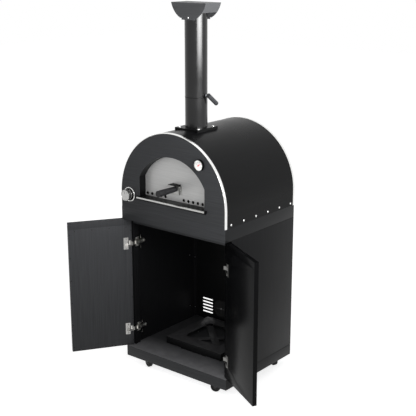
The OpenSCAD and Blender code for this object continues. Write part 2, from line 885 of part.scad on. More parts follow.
module door_inner() {
    difference() {
        box([door_low[0], door_high[1] - sheet_t, door_low[2]],
            [door_high[0], door_high[1], door_high[2] - door_band_h]);
        pocket_space(fit_gap);
        for (z = hinge_zs)
            for (side = [-1, 1])
                rod_y(door_low[0] + cup_plate_edge + cup_plate_w / 2,
                    z + side * (cup_plate_h / 2 - hinge_screw_d * 2),
                    hinge_screw_d / 2, door_high[1] - sheet_t - cut, door_high[1] + cut);
    }
}

module left_door_outer() {
    color([0.14, 0.145, 0.155])
        turn_left()
            door_outer();
}

module left_door_inner() {
    color([0.2, 0.205, 0.215])
        turn_left()
            door_inner();
}

module right_door_outer() {
    color([0.14, 0.145, 0.155])
        turn_right()
            door_outer();
}

module right_door_inner() {
    color([0.2, 0.205, 0.215])
        turn_right()
            door_inner();
}

// Pocket, plate and pin of one hinge, on a shut left door
module hinge_cup(z) {
    x0 = door_low[0] + pocket_edge;
    x1 = x0 + pocket_w;
    y1 = door_high[1];
    y0 = y1 - pocket_d;
    plate_x = door_low[0] + cup_plate_edge;
    difference() {
        union() {
            // floor and side walls of the pocket
            box([x0, y0 - pocket_t, z - pocket_outer_h / 2], [x1 + pocket_t, y0, z + pocket_outer_h / 2]);
            for (side = [-1, 1])
                translate([0, 0, z + side * (pocket_h + pocket_t) / 2])
                    box([x0, y0 - pocket_t, -pocket_t / 2], [x1 + pocket_t, y1, pocket_t / 2]);
            box([x1, y0 - pocket_t, z - pocket_outer_h / 2], [x1 + pocket_t, y1, z + pocket_outer_h / 2]);
            // plate on the inner face
            box([plate_x, y1, z - cup_plate_h / 2],
                [x1 + pocket_t, y1 + cup_plate_t, z + cup_plate_h / 2]);
            // pin across the pocket
            rod_z(pin_x, pin_y, pin_d / 2, z - pocket_outer_h / 2, z + pocket_outer_h / 2);
        }
        // mouth of the pocket through the plate
        box([plate_x - cut, y1, z - pocket_h / 2],
            [x1 - pocket_w / 6, y1 + cup_plate_t + cut, z + pocket_h / 2]);
        for (side = [-1, 1])
            rod_y(plate_x + cup_plate_w / 2, z + side * (cup_plate_h / 2 - hinge_screw_d * 2),
                hinge_screw_d / 2, y1 - cut, y1 + cup_plate_t + cut);
    }
}

module left_hinge_cups() {
    color([0.75, 0.75, 0.74])
        turn_left()
            for (z = hinge_zs)
                hinge_cup(z);
}

module right_hinge_cups() {
    color([0.75, 0.75, 0.74])
        turn_right()
            for (z = hinge_zs)
                hinge_cup(z);
}

// Cranked arm of one hinge on the left post
module hinge_arm(z) {
    x_post = -cab_w / 2 + post_w;
    x_arm = x_post + wing_t;
    low = z - arm_h / 2;
    high = z + arm_h / 2;
    difference() {
        union() {
            rod_z(pin_x, pin_y, knuckle_r, low, high);
            box([pin_x, pin_y - arm_t / 2, low], [x_arm + arm_t, pin_y + arm_t / 2, high]);
            box([x_arm, pin_y - arm_t / 2, low], [x_arm + arm_t, y_post + flange_w, high]);
            // body of the arm along the post
            box([x_arm, y_post + flange_w / 3, low], [x_arm + arm_body, y_post + arm_l, high]);
            // mounting wings
            box([x_post, y_post + flange_w * 2 / 3, z - wing_h / 2],
                [x_arm, y_post + flange_w * 2 / 3 + wing_w, z + wing_h / 2]);
        }
        rod_z(pin_x, pin_y, pin_d / 2 + run_gap, low - cut, high + cut);
        // adjusting screw recesses
        for (share = [0.45, 0.75])
            rod_x(y_post + arm_l * share, z, hinge_screw_d, x_arm + arm_body / 2, x_arm + arm_body + cut);
        for (side = [-1, 1])
            rod_x(y_post + flange_w * 2 / 3 + wing_w / 2, z + side * (wing_h / 2 - hinge_screw_d * 1.5),
                hinge_screw_d / 2, x_post - cut, x_arm + cut);
    }
}

module left_hinge_arms() {
    color([0.72, 0.72, 0.71])
        for (z = hinge_zs)
            hinge_arm(z);
}

module right_hinge_arms() {
    color([0.72, 0.72, 0.71])
        mirror([1, 0, 0])
            for (z = hinge_zs)
                hinge_arm(z);
}

// Castors

module castor_place(i) {
    translate([castor_xs[i] * (cab_w / 2 - castor_inset_x), castor_ys[i] * (cab_d / 2 - castor_inset_y), 0])
        children();
}

module castor_plates() {
    color([0.55, 0.56, 0.57])
        for (i = [0 : 3])
            castor_place(i) {
                box([-castor_plate_w / 2, -castor_plate_w / 2, castor_h - castor_plate_t],
                    [castor_plate_w / 2, castor_plate_w / 2, castor_h]);
                rod_z(0, 0, kingpin_d * 1.6, crown_top + side_gap, castor_h - castor_plate_t / 2);
                rod_z(0, 0, kingpin_d / 2, crown_bottom - fork_t, castor_h - castor_plate_t);
                rod_z(0, 0, kingpin_d * 0.8, crown_bottom - side_gap - fork_t / 2, crown_bottom - side_gap);
            }
}

// Fork with its crown, two cheeks and the riveted axle
module fork(i) {
    cheek = [[-crown_r / 2, crown_top], [crown_r, crown_top], [castor_trail + axle_d, wheel_r + axle_d],
        [castor_trail + axle_d, wheel_r], [castor_trail - axle_d, wheel_r - axle_d / 2]];
    color([0.28, 0.28, 0.29])
        castor_place(i)
            rotate([0, 0, castor_angles[i]])
                difference() {
                    union() {
                        box([-crown_r / 2, -crown_r, crown_bottom], [crown_r, crown_r, crown_top]);
                        rod_z(0, 0, crown_r, crown_bottom, crown_top);
                        for (side = [-1, 1])
                            translate([0, side * (fork_in + fork_t / 2) + fork_t / 2, 0])
                                rotate([90, 0, 0])
                                    linear_extrude(fork_t) {
                                        polygon(cheek);
                                        translate([castor_trail, wheel_r])
                                            circle(axle_d);
                                    }
                        rod_y(castor_trail, wheel_r, axle_d / 2, -crown_r, crown_r);
                    }
                    rod_z(0, 0, kingpin_d / 2 + run_gap, crown_bottom - cut, crown_top + cut);
                }
}

// Wheel with a rounded tread, drawn as a turned profile
module wheel(i) {
    half = wheel_w / 2;
    hub_r = axle_d * 1.5;
    color([0.06, 0.06, 0.065])
        castor_place(i)
            rotate([0, 0, castor_angles[i]])
                translate([castor_trail, 0, wheel_r])
                    rotate([90, 0, 0])
                        rotate_extrude() {
                            difference() {
                                translate([axle_d / 2 + run_gap, -half])
                                    square([wheel_r - axle_d / 2 - run_gap, wheel_w]);
                                for (side = [-1, 1]) {
                                    translate([wheel_r, side * (half - tread_round / 2)])
                                        square([2 * tread_round, tread_round], center = true);
                                    translate([hub_r, side * (half - tread_round / 4) - tread_round / 4])
                                        square([wheel_r - tread_round * 2 - hub_r, tread_round / 2]);
                                }
                            }
                            for (side = [-1, 1])
                                translate([wheel_r - tread_round, side * (half - tread_round)])
                                    intersection() {
                                        circle(tread_round, $fn = 48);
                                        translate([0, (side - 1) * tread_round / 2])
                                            square([tread_round, tread_round]);
                                    }
                            translate([axle_d / 2 + run_gap, -hub_w / 2])
                                square([axle_d / 2, hub_w]);
                        }
}

module fork_front_left() {
    fork(0);
}

module fork_front_right() {
    fork(1);
}

module fork_rear_left() {
    fork(2);
}

module fork_rear_right() {
    fork(3);
}

module wheel_front_left() {
    wheel(0);
}

module wheel_front_right() {
    wheel(1);
}

module wheel_rear_left() {
    wheel(2);
}

module wheel_rear_right() {
    wheel(3);
}

// Oven body

module oven_shell() {
    color([0.13, 0.135, 0.14])
        difference() {
            slab_y(y_behind_face, y_before_back)
                difference() {
                    arch(shell_r, z_header);
                    arch(shell_in_r, z_header - cut);
                }
            rod_z(0, y_flue, neck_r + 2 * fit_gap, z_arch, z_apex + cut);
            for (i = [0 : side_screw_count - 1])
                rod_x(y_front + side_screw_first + i * side_screw_pitch, z_header + side_screw_z,
                    side_screw_d / 2 + fit_gap, -shell_r - cut, shell_r + cut);
        }
}

module oven_face() {
    color([0.22, 0.225, 0.235])
        difference() {
            slab_y(y_face, y_behind_face)
                difference() {
                    arch(shell_r, z_header);
                    mouth(0, z_mouth);
                }
            rod_y(-knob_x, z_knob, stem_r + side_gap * 4, y_face - cut, y_behind_face + cut);
            rod_y(gauge_x, z_gauge, probe_r + fit_gap, y_face - cut, y_behind_face + cut);
        }
}

module oven_back() {
    color([0.13, 0.135, 0.14])
        slab_y(y_before_back, y_back)
            arch(shell_r, z_header);
}

// Trim that is folded over one edge of the arch, from y0 to y1
module trim(y_outer, y_inner, y_rim) {
    slab_y(min(y_outer, y_inner), max(y_outer, y_inner))
        difference() {
            arch(shell_r + fit_gap + trim_t, z_header);
            arch(shell_r - trim_w, z_header - cut);
        }
    slab_y(min(y_outer, y_rim), max(y_outer, y_rim))
        difference() {
            arch(shell_r + fit_gap + trim_t, z_header);
            arch(shell_r + fit_gap, z_header - cut);
        }
}

module front_trim() {
    color([0.85, 0.85, 0.84])
        trim(y_face - trim_t, y_face, y_face + trim_d);
}

module rear_trim() {
    color([0.85, 0.85, 0.84])
        trim(y_back + trim_t, y_back, y_back - trim_d);
}

module mouth_tunnel() {
    color([0.15, 0.15, 0.155])
        slab_y(y_behind_face, y_tunnel_end)
            difference() {
                mouth(sheet_t, z_mouth - sheet_t);
                mouth(0, z_mouth);
            }
}

// Vaulted chamber with its floor, back and front ring
module chamber_liner() {
    color([0.5, 0.5, 0.5])
        difference() {
            slab_y(y_tunnel_end, y_chamber_end)
                arch(liner_out_r, z_chamber);
            slab_y(y_tunnel_end + sheet_t, y_chamber_end - sheet_t)
                arch(liner_r, z_chamber + sheet_t);
            slab_y(y_tunnel_end - cut, y_tunnel_end + sheet_t + cut)
                mouth(0, z_mouth);
            rod_z(0, y_flue, neck_r - sheet_t, z_arch, z_apex);
            rod_y(x_burner, z_burner, burner_r * 0.6 + fit_gap,
                y_tunnel_end - cut, y_tunnel_end + 2 * sheet_t);
            rod_y(gauge_x, z_gauge, probe_r + fit_gap, y_tunnel_end - cut, y_tunnel_end + 2 * sheet_t);
        }
}

// Blanket round the chamber and the board under it
module insulation() {
    color([0.85, 0.83, 0.78])
        difference() {
            union() {
                difference() {
                    slab_y(y_tunnel_end, y_chamber_end + insulation_t)
                        arch(shell_in_r - fit_gap, z_header + upstand_h + fit_gap);
                    slab_y(y_tunnel_end - cut, y_chamber_end + fit_gap)
                        arch(liner_out_r + fit_gap, z_header);
                }
                box([-liner_out_r, y_tunnel_end, z_header],
                    [liner_out_r, y_chamber_end, z_chamber]);
            }
            rod_z(0, y_flue, neck_r + 2 * fit_gap, z_arch, z_apex);
        }
}

module baking_stone() {
    color([0.72, 0.62, 0.48])
        box([-liner_r + stone_gap, y_tunnel_end + sheet_t + stone_gap, z_chamber + sheet_t],
            [liner_r - stone_gap, y_chamber_end - sheet_t - stone_gap, z_stone]);
}

// Burner along the left wall, with a row of flame ports
module burner_tube() {
    start = y_tunnel_end + sheet_t;
    step = (burner_l - 4 * burner_r) / (flame_port_count - 1);
    color([0.55, 0.54, 0.52])
        difference() {
            union() {
                rod_y(x_burner, z_burner, burner_r, start, start + burner_l);
                rod_y(x_burner, z_burner, burner_r * 0.6, y_burner_end, start + burner_r);
            }
            rod_y(x_burner, z_burner, burner_r - sheet_t, start + burner_r, start + burner_l - sheet_t);
            rod_y(x_burner, z_burner, burner_r * 0.4, y_burner_end - cut, start + burner_r + cut);
            for (i = [0 : flame_port_count - 1])
                rod_z(x_burner, start + 2 * burner_r + i * step, flame_port_r,
                    z_burner, z_burner + burner_r + cut);
        }
}

// Gas train

module gas_valve() {
    color([0.7, 0.62, 0.4])
        difference() {
            box([-knob_x - valve_w / 2, y_behind_face, z_knob - valve_w / 2],
                [-knob_x + valve_w / 2, y_behind_face + valve_l, z_knob + valve_w / 2]);
            rod_y(-knob_x, z_knob, stem_r + run_gap, y_behind_face - cut, y_behind_face + valve_l * 2 / 3);
        }
}

// One straight run of gas pipe that starts in an elbow
module pipe_run(a, b) {
    v = b - a;
    l = norm(v);
    translate(a) {
        sphere(elbow_r, $fn = 48);
        rotate([0, acos(v[2] / l), atan2(v[1], v[0])])
            cylinder(r = pipe_r, h = l, $fn = 48);
    }
}

// Outlet run to the burner and inlet run down into the cabinet
module gas_pipe() {
    y_in = y_face + inlet_front;
    z_run = z_header - inlet_drop;
    z_end = z_seam - inlet_below;
    y_end = y_face + inlet_back;
    color([0.72, 0.7, 0.62]) {
        // from the valve to the burner
        rod_y(-knob_x, z_knob, pipe_r, y_pipe_out, y_pipe_turn);
        pipe_run([-knob_x, y_pipe_turn, z_knob], [x_burner, y_pipe_turn, z_burner]);
        pipe_run([x_burner, y_pipe_turn, z_burner], [x_burner, y_burner_end, z_burner]);
        // from the cabinet up to the valve
        rod_z(-knob_x, y_in, pipe_r, z_run, z_knob - valve_w / 2);
        pipe_run([-knob_x, y_in, z_run], [-knob_x, y_end, z_run]);
        pipe_run([-knob_x, y_end, z_run], [-knob_x, y_end, z_end + inlet_thread_l]);
        rod_z(-knob_x, y_end, inlet_thread_r, z_end, z_end + inlet_thread_l);
        translate([-knob_x, y_end, z_end + inlet_thread_l])
            cylinder(r = inlet_nut / sqrt(3), h = inlet_thread_l / 2, $fn = 6);
    }
}

module valve_stem() {
    color([0.8, 0.8, 0.8])
        rod_y(-knob_x, z_knob, stem_r, y_knob_back - stem_in_knob,
            y_behind_face + valve_l * 2 / 3 - knob_push - side_gap);
}

module gas_knob() {
    y_tip = y_knob_back - knob_l;
    color([0.78, 0.78, 0.77])
        translate([-knob_x, y_knob_back, z_knob])
            rotate([90, 0, 0])
                rotate_extrude()
                    difference() {
                        polygon([[0, 0], [knob_r - knob_chamfer, 0], [knob_r - knob_chamfer, knob_l / 5],
                            [knob_r, knob_l / 4], [knob_r, knob_l - knob_chamfer],
                            [knob_r - knob_chamfer, knob_l], [0, knob_l]]);
                        translate([-stem_r, -cut])
                            square([2 * stem_r + run_gap, stem_in_knob + cut + side_gap]);
                    }
}

module knob_bezel() {
    color([0.7, 0.7, 0.7])
        difference() {
            union() {
                rod_y(-knob_x, z_knob, bezel_r, y_face - bezel_h / 3, y_face);
                difference() {
                    rod_y(-knob_x, z_knob, bezel_r, y_bezel, y_face);
                    rod_y(-knob_x, z_knob, bezel_r - bezel_ring, y_bezel - cut, y_face + cut);
                }
            }
            rod_y(-knob_x, z_knob, stem_r + side_gap * 4, y_bezel - cut, y_face + cut);
        }
}

// Sill

module sill_shelf() {
    half = mouth_w / 2 - fit_gap;
    wide = mouth_w / 2 + shelf_side;
    y_bar = y_face - bar_front;
    z_bar = z_shelf - bar_r;
    color([0.16, 0.16, 0.165]) {
        // shelf inside the mouth
        box([-half, y_face, z_shelf - sheet_t], [half, y_tunnel_end, z_shelf]);
        // lip in front of the oven face
        box([-wide, y_bar + bar_r + fit_gap, z_shelf - sheet_t], [wide, y_face, z_shelf]);
        // flange on the oven face
        box([-wide, y_face - sheet_t, z_mouth - shelf_flange_h], [wide, y_face, z_shelf]);
        // end plates of the bar
        for (side = [-1, 1])
            translate([side * (wide + ear_t / 2), 0, 0]) {
                rod_x(y_bar, z_bar, ear_r, -ear_t / 2, ear_t / 2);
                box([-ear_t / 2, y_bar, z_bar - ear_r], [ear_t / 2, y_face, z_bar + ear_r]);
            }
    }
}

module sill_bar() {
    wide = mouth_w / 2 + shelf_side;
    color([0.8, 0.8, 0.79])
        rod_x(y_face - bar_front, z_shelf - bar_r, bar_r, -wide, wide);
}

// Oven door

module oven_door_plate() {
    low = z_shelf + oven_door_lift;
    color([0.68, 0.68, 0.67])
        difference() {
            slab_y(y_oven_door, y_oven_door + oven_door_t)
                mouth(-oven_door_gap, low);
            slab_y(y_oven_door + sheet_t, y_oven_door + oven_door_t + cut)
                mouth(-oven_door_gap - sheet_t, low + sheet_t);
            for (i = [0 : air_count_right - 1])
                rod_y(mouth_w / 2 - air_hole_inset - i * air_hole_pitch, low + air_hole_z, air_hole_r,
                    y_oven_door - cut, y_oven_door + 2 * sheet_t);
            for (i = [0 : air_count_left - 1])
                rod_y(-mouth_w / 2 + air_hole_inset + i * air_hole_pitch, low + air_hole_z, air_hole_r,
                    y_oven_door - cut, y_oven_door + 2 * sheet_t);
        }
}

// Hat-shaped bracket between the oven door and the grip
module grip_bracket() {
    low = z_shelf + bracket_z;
    leg = bracket_w / 2 - bracket_h / 3;
    color([0.75, 0.75, 0.74])
        difference() {
            union() {
                for (side = [-1, 1]) {
                    translate([side * (bracket_w / 2 + leg) / 2, 0, low])
                        box([-(bracket_w / 2 - leg) / 2, y_oven_door - bracket_t, 0],
                            [(bracket_w / 2 - leg) / 2, y_oven_door, bracket_h]);
                    translate([side * (leg + bracket_t / 2), 0, low])
                        box([-bracket_t / 2, y_oven_door - bracket_d, 0],
                            [bracket_t / 2, y_oven_door, bracket_h]);
                }
                box([-leg - bracket_t, y_oven_door - bracket_d, low],
                    [leg + bracket_t, y_oven_door - bracket_d + bracket_t, low + bracket_h]);
            }
            rod_y(0, z_grip, hinge_screw_d / 2, y_oven_door - bracket_d - cut, y_oven_door);
            for (side = [-1, 1])
                rod_y(side * (bracket_w / 2 + leg + bracket_t) / 2, z_grip, hinge_screw_d / 2,
                    y_oven_door - 2 * bracket_t, y_oven_door + cut);
        }
}

// Turned grip that widens to the front
module oven_door_grip() {
    r0 = grip_rear_r;
    r1 = grip_front_r;
    color([0.08, 0.08, 0.085])
        translate([0, y_oven_door - bracket_d, z_grip])
            rotate([90, 0, 0])
                rotate_extrude() {
                    polygon([[0, 0], [r0 - grip_round, 0], [r0, grip_round],
                        [r1, grip_l - grip_round], [0, grip_l - grip_round]]);
                    square([r1 - grip_round, grip_l]);
                    translate([r1 - grip_round, grip_l - grip_round])
                        intersection() {
                            circle(grip_round, $fn = 48);
                            square([grip_round, grip_round]);
                        }
                }
}

// Small shelf that keeps the heat of the mouth off the hand
module grip_shield() {
    low = z_shelf + bracket_z + bracket_h + fit_gap;
    color([0.05, 0.05, 0.05]) {
        box([-shield_w / 2, y_oven_door - shield_d, low + shield_flange],
            [shield_w / 2, y_oven_door, low + shield_flange + shield_t]);
        box([-shield_w / 2, y_oven_door - shield_t, low],
            [shield_w / 2, y_oven_door, low + shield_flange + shield_t]);
    }
}

// Thermometer

module thermometer_case() {
    y_rim = y_face - gauge_d;
    color([0.05, 0.05, 0.05])
        difference() {
            union() {
                rod_y(gauge_x, z_gauge, gauge_r, y_rim, y_face);
                rod_y(gauge_x, z_gauge, probe_r, y_face, y_face + probe_l);
            }
            rod_y(gauge_x, z_gauge, gauge_r - gauge_rim, y_rim - cut, y_rim + gauge_well);
            rod_y(gauge_x, z_gauge, spindle_r + run_gap, y_rim, y_rim + gauge_well * 2);
        }
}

module thermometer_dial() {
    y_dial = y_face - gauge_d + gauge_well;
    color([0.95, 0.95, 0.93])
        difference() {
            rod_y(gauge_x, z_gauge, gauge_r - gauge_rim - fit_gap, y_dial - dial_t, y_dial);
            rod_y(gauge_x, z_gauge, spindle_r + side_gap, y_dial - dial_t - cut, y_dial + cut);
        }
}

// Needle on its spindle
module thermometer_needle() {
    y_dial = y_face - gauge_d + gauge_well;
    y_needle = y_dial - dial_t - side_gap;
    color([0.8, 0.1, 0.08])
        translate([gauge_x, 0, z_gauge])
            rotate([0, -needle_angle, 0]) {
                rod_y(0, 0, needle_hub_r, y_needle - needle_t, y_needle);
                rod_y(0, 0, spindle_r, y_needle - needle_t, y_dial + gauge_well - side_gap);
                slab_y(y_needle - needle_t, y_needle)
                    polygon([[-needle_hub_r * 2, -needle_w / 2], [needle_l, -needle_w / 8],
                        [needle_l, needle_w / 8], [-needle_hub_r * 2, needle_w / 2]]);
            }
}

// Side screws

module side_screws() {
    color([0.85, 0.85, 0.84])
        for (side = [-1, 1])
            for (i = [0 : side_screw_count - 1])
                translate([0, y_front + side_screw_first + i * side_screw_pitch, z_header + side_screw_z])
                    rotate([0, side * 90, 0]) {
                        translate([0, 0, shell_r])
                            cylinder(r1 = side_head_d / 2, r2 = side_head_d / 3, h = side_head_h);
                        translate([0, 0, shell_r - side_screw_l])
                            cylinder(r = side_screw_d / 2, h = side_screw_l + side_head_h / 2);
                    }
}

// Flue

module flue_base() {
    color([0.12, 0.12, 0.125])
        difference() {
            union() {
                difference() {
                    box([-flue_base_w / 2, y_flue - flue_base_d / 2, z_flue_base - skirt_h],
                        [flue_base_w / 2, y_flue + flue_base_d / 2, z_flue_base]);
                    rod_y(0, z_arch, shell_r + fit_gap / 2, y_flue - flue_base_d, y_flue + flue_base_d);
                }
                // spigot down into the chamber and up into the pipe
                rod_z(0, y_flue, neck_r, z_arch + liner_out_r, z_flue_base + neck_l);
            }
            rod_z(0, y_flue, neck_r - sheet_t, z_arch, z_flue_base + neck_l + cut);
            for (sx = [-1, 1])
                for (sy = [-1, 1])
                    rod_z(sx * (flue_base_w / 2 - flue_bolt_inset_x),
                        y_flue + sy * (flue_base_d / 2 - flue_bolt_inset_y),
                        flue_bolt_d / 2 + fit_gap, z_arch, z_flue_base + cut);
        }
}

// Bolts of the flue base and rivets of the chimney cap
module flue_bolts() {
    color([0.6, 0.6, 0.6]) {
        for (sx = [-1, 1])
            for (sy = [-1, 1])
                translate([sx * (flue_base_w / 2 - flue_bolt_inset_x),
                    y_flue + sy * (flue_base_d / 2 - flue_bolt_inset_y), z_flue_base]) {
                    cylinder(r = flue_head_d / 2, h = flue_head_h, $fn = 6);
                    translate([0, 0, -flue_base_top])
                        cylinder(r = flue_bolt_d / 2, h = flue_base_top + flue_head_h / 2);
                }
        for (side = [-1, 1])
            translate([0, y_flue, z_rivet])
                rotate([-side * 90, 0, 0]) {
                    // head inside the pipe, shank and outer head
                    translate([0, 0, rivet_in - rivet_h])
                        cylinder(r = rivet_r, h = rivet_h);
                    translate([0, 0, rivet_in - rivet_h / 2])
                        cylinder(r = rivet_shank_r, h = cap_half_d - rivet_in + rivet_h);
                    translate([0, 0, cap_half_d])
                        cylinder(r1 = rivet_r, r2 = rivet_r * 2 / 3, h = rivet_h);
                }
    }
}

module lower_flue_pipe() {
    color([0.1, 0.1, 0.105])
        difference() {
            rod_z(0, y_flue, flue_r, z_flue_base, z_pipe_seam);
            rod_z(0, y_flue, flue_in_r, z_flue_base - cut, z_pipe_seam + cut);
        }
}

// Upper pipe, with a neck in the lower one and bushes for the damper shaft
module upper_flue_pipe() {
    color([0.1, 0.1, 0.105])
        difference() {
            union() {
                rod_z(0, y_flue, flue_r, z_pipe_seam, z_pipe_top);
                rod_z(0, y_flue, neck_r, z_pipe_seam - neck_l, z_pipe_seam + sheet_t);
                rod_x(y_flue, z_damper, shaft_d, -flue_r - bush_l, flue_r + bush_l);
            }
            rod_z(0, y_flue, flue_in_r, z_pipe_seam + sheet_t, z_pipe_top + cut);
            rod_z(0, y_flue, neck_r - sheet_t, z_pipe_seam - neck_l - cut, z_pipe_top);
            rod_x(y_flue, z_damper, shaft_d / 2 + run_gap, -flue_r - bush_l - cut, flue_r + bush_l + cut);
            rod_y(0, z_rivet, rivet_shank_r + fit_gap, y_flue - flue_r - cut, y_flue + flue_r + cut);
        }
}

// Flap on its shaft, tilted with the handle
module damper_flap() {
    color([0.25, 0.25, 0.25])
        translate([0, y_flue, z_damper])
            rotate([-damper_angle, 0, 0]) {
                translate([0, 0, -damper_t / 2])
                    cylinder(r = damper_r, h = damper_t);
                rod_x(0, 0, shaft_d / 2, -flue_r - bush_l - shaft_d / 2, flue_r + handle_out);
            }
}

module damper_handle() {
    x = flue_r + handle_out;
    back = handle_r / 2;
    color([0.3, 0.3, 0.31])
        translate([0, y_flue, z_damper])
            rotate([-damper_angle, 0, 0])
                difference() {
                    union() {
                        rod_y(x, 0, handle_r, -back, handle_l - back - grip_round);
                        rod_y(x, 0, handle_r - grip_round, -back, handle_l - back);
                        translate([x, handle_l - back - grip_round, 0])
                            rotate([90, 0, 0])
                                rotate_extrude()
                                    translate([handle_r - grip_round, 0])
                                        circle(grip_round, $fn = 48);
                    }
                    rod_x(0, 0, shaft_d / 2, -cut, x);
                }
}

// Outline of the cap's end plates
module cap_outline(r, low) {
    intersection() {
        translate([0, z_cap + cap_arc_rise])
            circle(r, $fn = 180);
        translate([-cap_w, low])
            square([2 * cap_w, z_cap - low]);
    }
}

module chimney_cap() {
    low = z_cap - cap_h;
    color([0.14, 0.145, 0.15])
        difference() {
            union() {
                // end plates with their tabs
                for (side = [-1, 1])
                    translate([0, y_flue + side * (cap_half_d - cap_t / 2), 0])
                        slab_y(-cap_t / 2, cap_t / 2) {
                            cap_outline(cap_r, low + cap_tab_h / 2);
                            translate([-cap_tab, low])
                                square([2 * cap_tab, cap_tab_h]);
                        }
                // curved side sheets
                slab_y(y_flue - cap_half_d, y_flue + cap_half_d)
                    difference() {
                        cap_outline(cap_r, z_cap - cap_side_h);
                        cap_outline(cap_r - cap_t, z_cap - cap_side_h - cut);
                    }
                // top sheet
                slab_y(y_flue - cap_half_d, y_flue + cap_half_d)
                    cap_outline(cap_r, z_cap - cap_t);
            }
            rod_y(0, z_rivet, rivet_shank_r + fit_gap, y_flue - cap_half_d - cut, y_flue + cap_half_d + cut);
        }
}

base_pan();
castor_channels();
left_side_panel();
right_side_panel();
back_panel();
top_rail();
hose_grommet();
tank_tray();
tray_straps();
magnet_catches();
header_frame();
left_door_outer();
left_door_inner();
right_door_outer();
right_door_inner();
left_hinge_arms();
right_hinge_arms();
left_hinge_cups();
right_hinge_cups();
castor_plates();
fork_front_left();
fork_front_right();
fork_rear_left();
fork_rear_right();
wheel_front_left();
wheel_front_right();
wheel_rear_left();
wheel_rear_right();
oven_shell();
oven_face();
oven_back();
front_trim();
rear_trim();
mouth_tunnel();
chamber_liner();
insulation();
baking_stone();
burner_tube();
gas_valve();
gas_pipe();
sill_shelf();
sill_bar();
oven_door_plate();
grip_bracket();
oven_door_grip();
grip_shield();
thermometer_case();
thermometer_dial();
thermometer_needle();
valve_stem();
gas_knob();
knob_bezel();
side_screws();
flue_base();
flue_bolts();
lower_flue_pipe();
upper_flue_pipe();
damper_flap();
damper_handle();
chimney_cap();
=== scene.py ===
import json
import math

import bmesh
import bpy
from mathutils import Matrix, Vector


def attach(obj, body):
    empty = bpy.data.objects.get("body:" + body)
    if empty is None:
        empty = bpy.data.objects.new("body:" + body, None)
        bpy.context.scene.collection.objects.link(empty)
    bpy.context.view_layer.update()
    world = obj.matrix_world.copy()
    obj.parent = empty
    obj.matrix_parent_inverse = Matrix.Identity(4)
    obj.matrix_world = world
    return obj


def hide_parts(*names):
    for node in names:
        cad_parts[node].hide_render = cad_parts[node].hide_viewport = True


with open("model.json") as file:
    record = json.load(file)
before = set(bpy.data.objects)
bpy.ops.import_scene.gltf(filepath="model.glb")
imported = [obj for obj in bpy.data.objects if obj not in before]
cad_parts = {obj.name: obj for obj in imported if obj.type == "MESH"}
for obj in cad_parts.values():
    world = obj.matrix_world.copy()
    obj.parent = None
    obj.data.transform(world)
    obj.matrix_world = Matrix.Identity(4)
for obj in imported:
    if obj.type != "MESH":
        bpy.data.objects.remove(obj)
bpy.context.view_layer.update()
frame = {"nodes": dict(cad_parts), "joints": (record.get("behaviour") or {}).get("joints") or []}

# The view of the photograph: metres and degrees in the part's frame
CAMERA_AT = Vector((2.7869, -3.4350, 2.0856))
CAMERA_YAW = 39.11
CAMERA_PITCH = 15.68
CAMERA_LENS = 79.93
CAMERA_SENSOR = 36.0
CAMERA_NEAR = 0.05
CAMERA_FAR = 60.0

# Sizes of the object that several pieces use, in metres
CABINET_W = 0.650
CABINET_D = 0.542
FACE_Y = -0.283
BACK_Y = 0.271
FLOOR_Z = 0.1085
PANEL_TOP_Z = 0.795
HEADER_Z = 0.859
ARCH_Z = 0.937
FLUE_Y = -0.095
FLUE_R = 0.0535
PIPE_SEAM_Z = 1.4125
DAMPER_Z = 1.423
DOOR_T = 0.021
DOOR_SETBACK = 0.014
DOOR_EDGE = 0.004
DOOR_LOW_Z = 0.1115
CASTORS = ("front_left", "front_right", "rear_left", "rear_right")

# The studio: strengths and greys where 1 is white
WHITE = (1.0, 1.0, 1.0, 1.0)
WORLD_LIGHT = 0.3
WORLD_SEEN = 1.0
STAGE_HALF = 14.0
STAGE_GREY = 0.8
STAGE_GLOW = 0.78
PIPE_LAMP_SPREAD = 80.0
LAMPS = {
    "key": {"at": (0.8, -1.0, 1.05), "towards": (0.2, 0.0, 0.7), "width": 0.7, "height": 0.9, "watts": 9},
    "pipe": {"at": (1.747, -0.53, 1.82), "towards": (0.0, FLUE_Y, 1.82), "width": 1.8, "height": 0.8,
             "watts": 30},
    "top": {"at": (0.2, 0.2, 4.2), "towards": (0.0, 0.0, 1.0), "width": 2.4, "height": 2.4, "watts": 22},
}


def camera():
    """The photograph's camera."""
    data = bpy.data.cameras.new("camera")
    data.lens = CAMERA_LENS
    data.sensor_width = CAMERA_SENSOR
    data.clip_start = CAMERA_NEAR
    data.clip_end = CAMERA_FAR
    obj = bpy.data.objects.new("camera", data)
    yaw, pitch = math.radians(CAMERA_YAW), math.radians(CAMERA_PITCH)
    forward = Vector((
        -math.sin(yaw) * math.cos(pitch),
        math.cos(yaw) * math.cos(pitch),
        -math.sin(pitch),
    ))
    obj.location = CAMERA_AT
    obj.rotation_mode = "QUATERNION"
    obj.rotation_quaternion = forward.to_track_quat("-Z", "Y")
    bpy.context.scene.collection.objects.link(obj)
    bpy.context.scene.camera = obj


def soft_light(name, at, towards, width, height, watts):
    """A rectangular studio lamp."""
    data = bpy.data.lights.new(name, "AREA")
    data.shape = "RECTANGLE"
    data.size = width
    data.size_y = height
    data.energy = watts
    obj = bpy.data.objects.new(name, data)
    obj.location = at
    obj.rotation_mode = "QUATERNION"
    obj.rotation_quaternion = (Vector(towards) - Vector(at)).to_track_quat("-Z", "Y")
    bpy.context.scene.collection.objects.link(obj)
    return obj


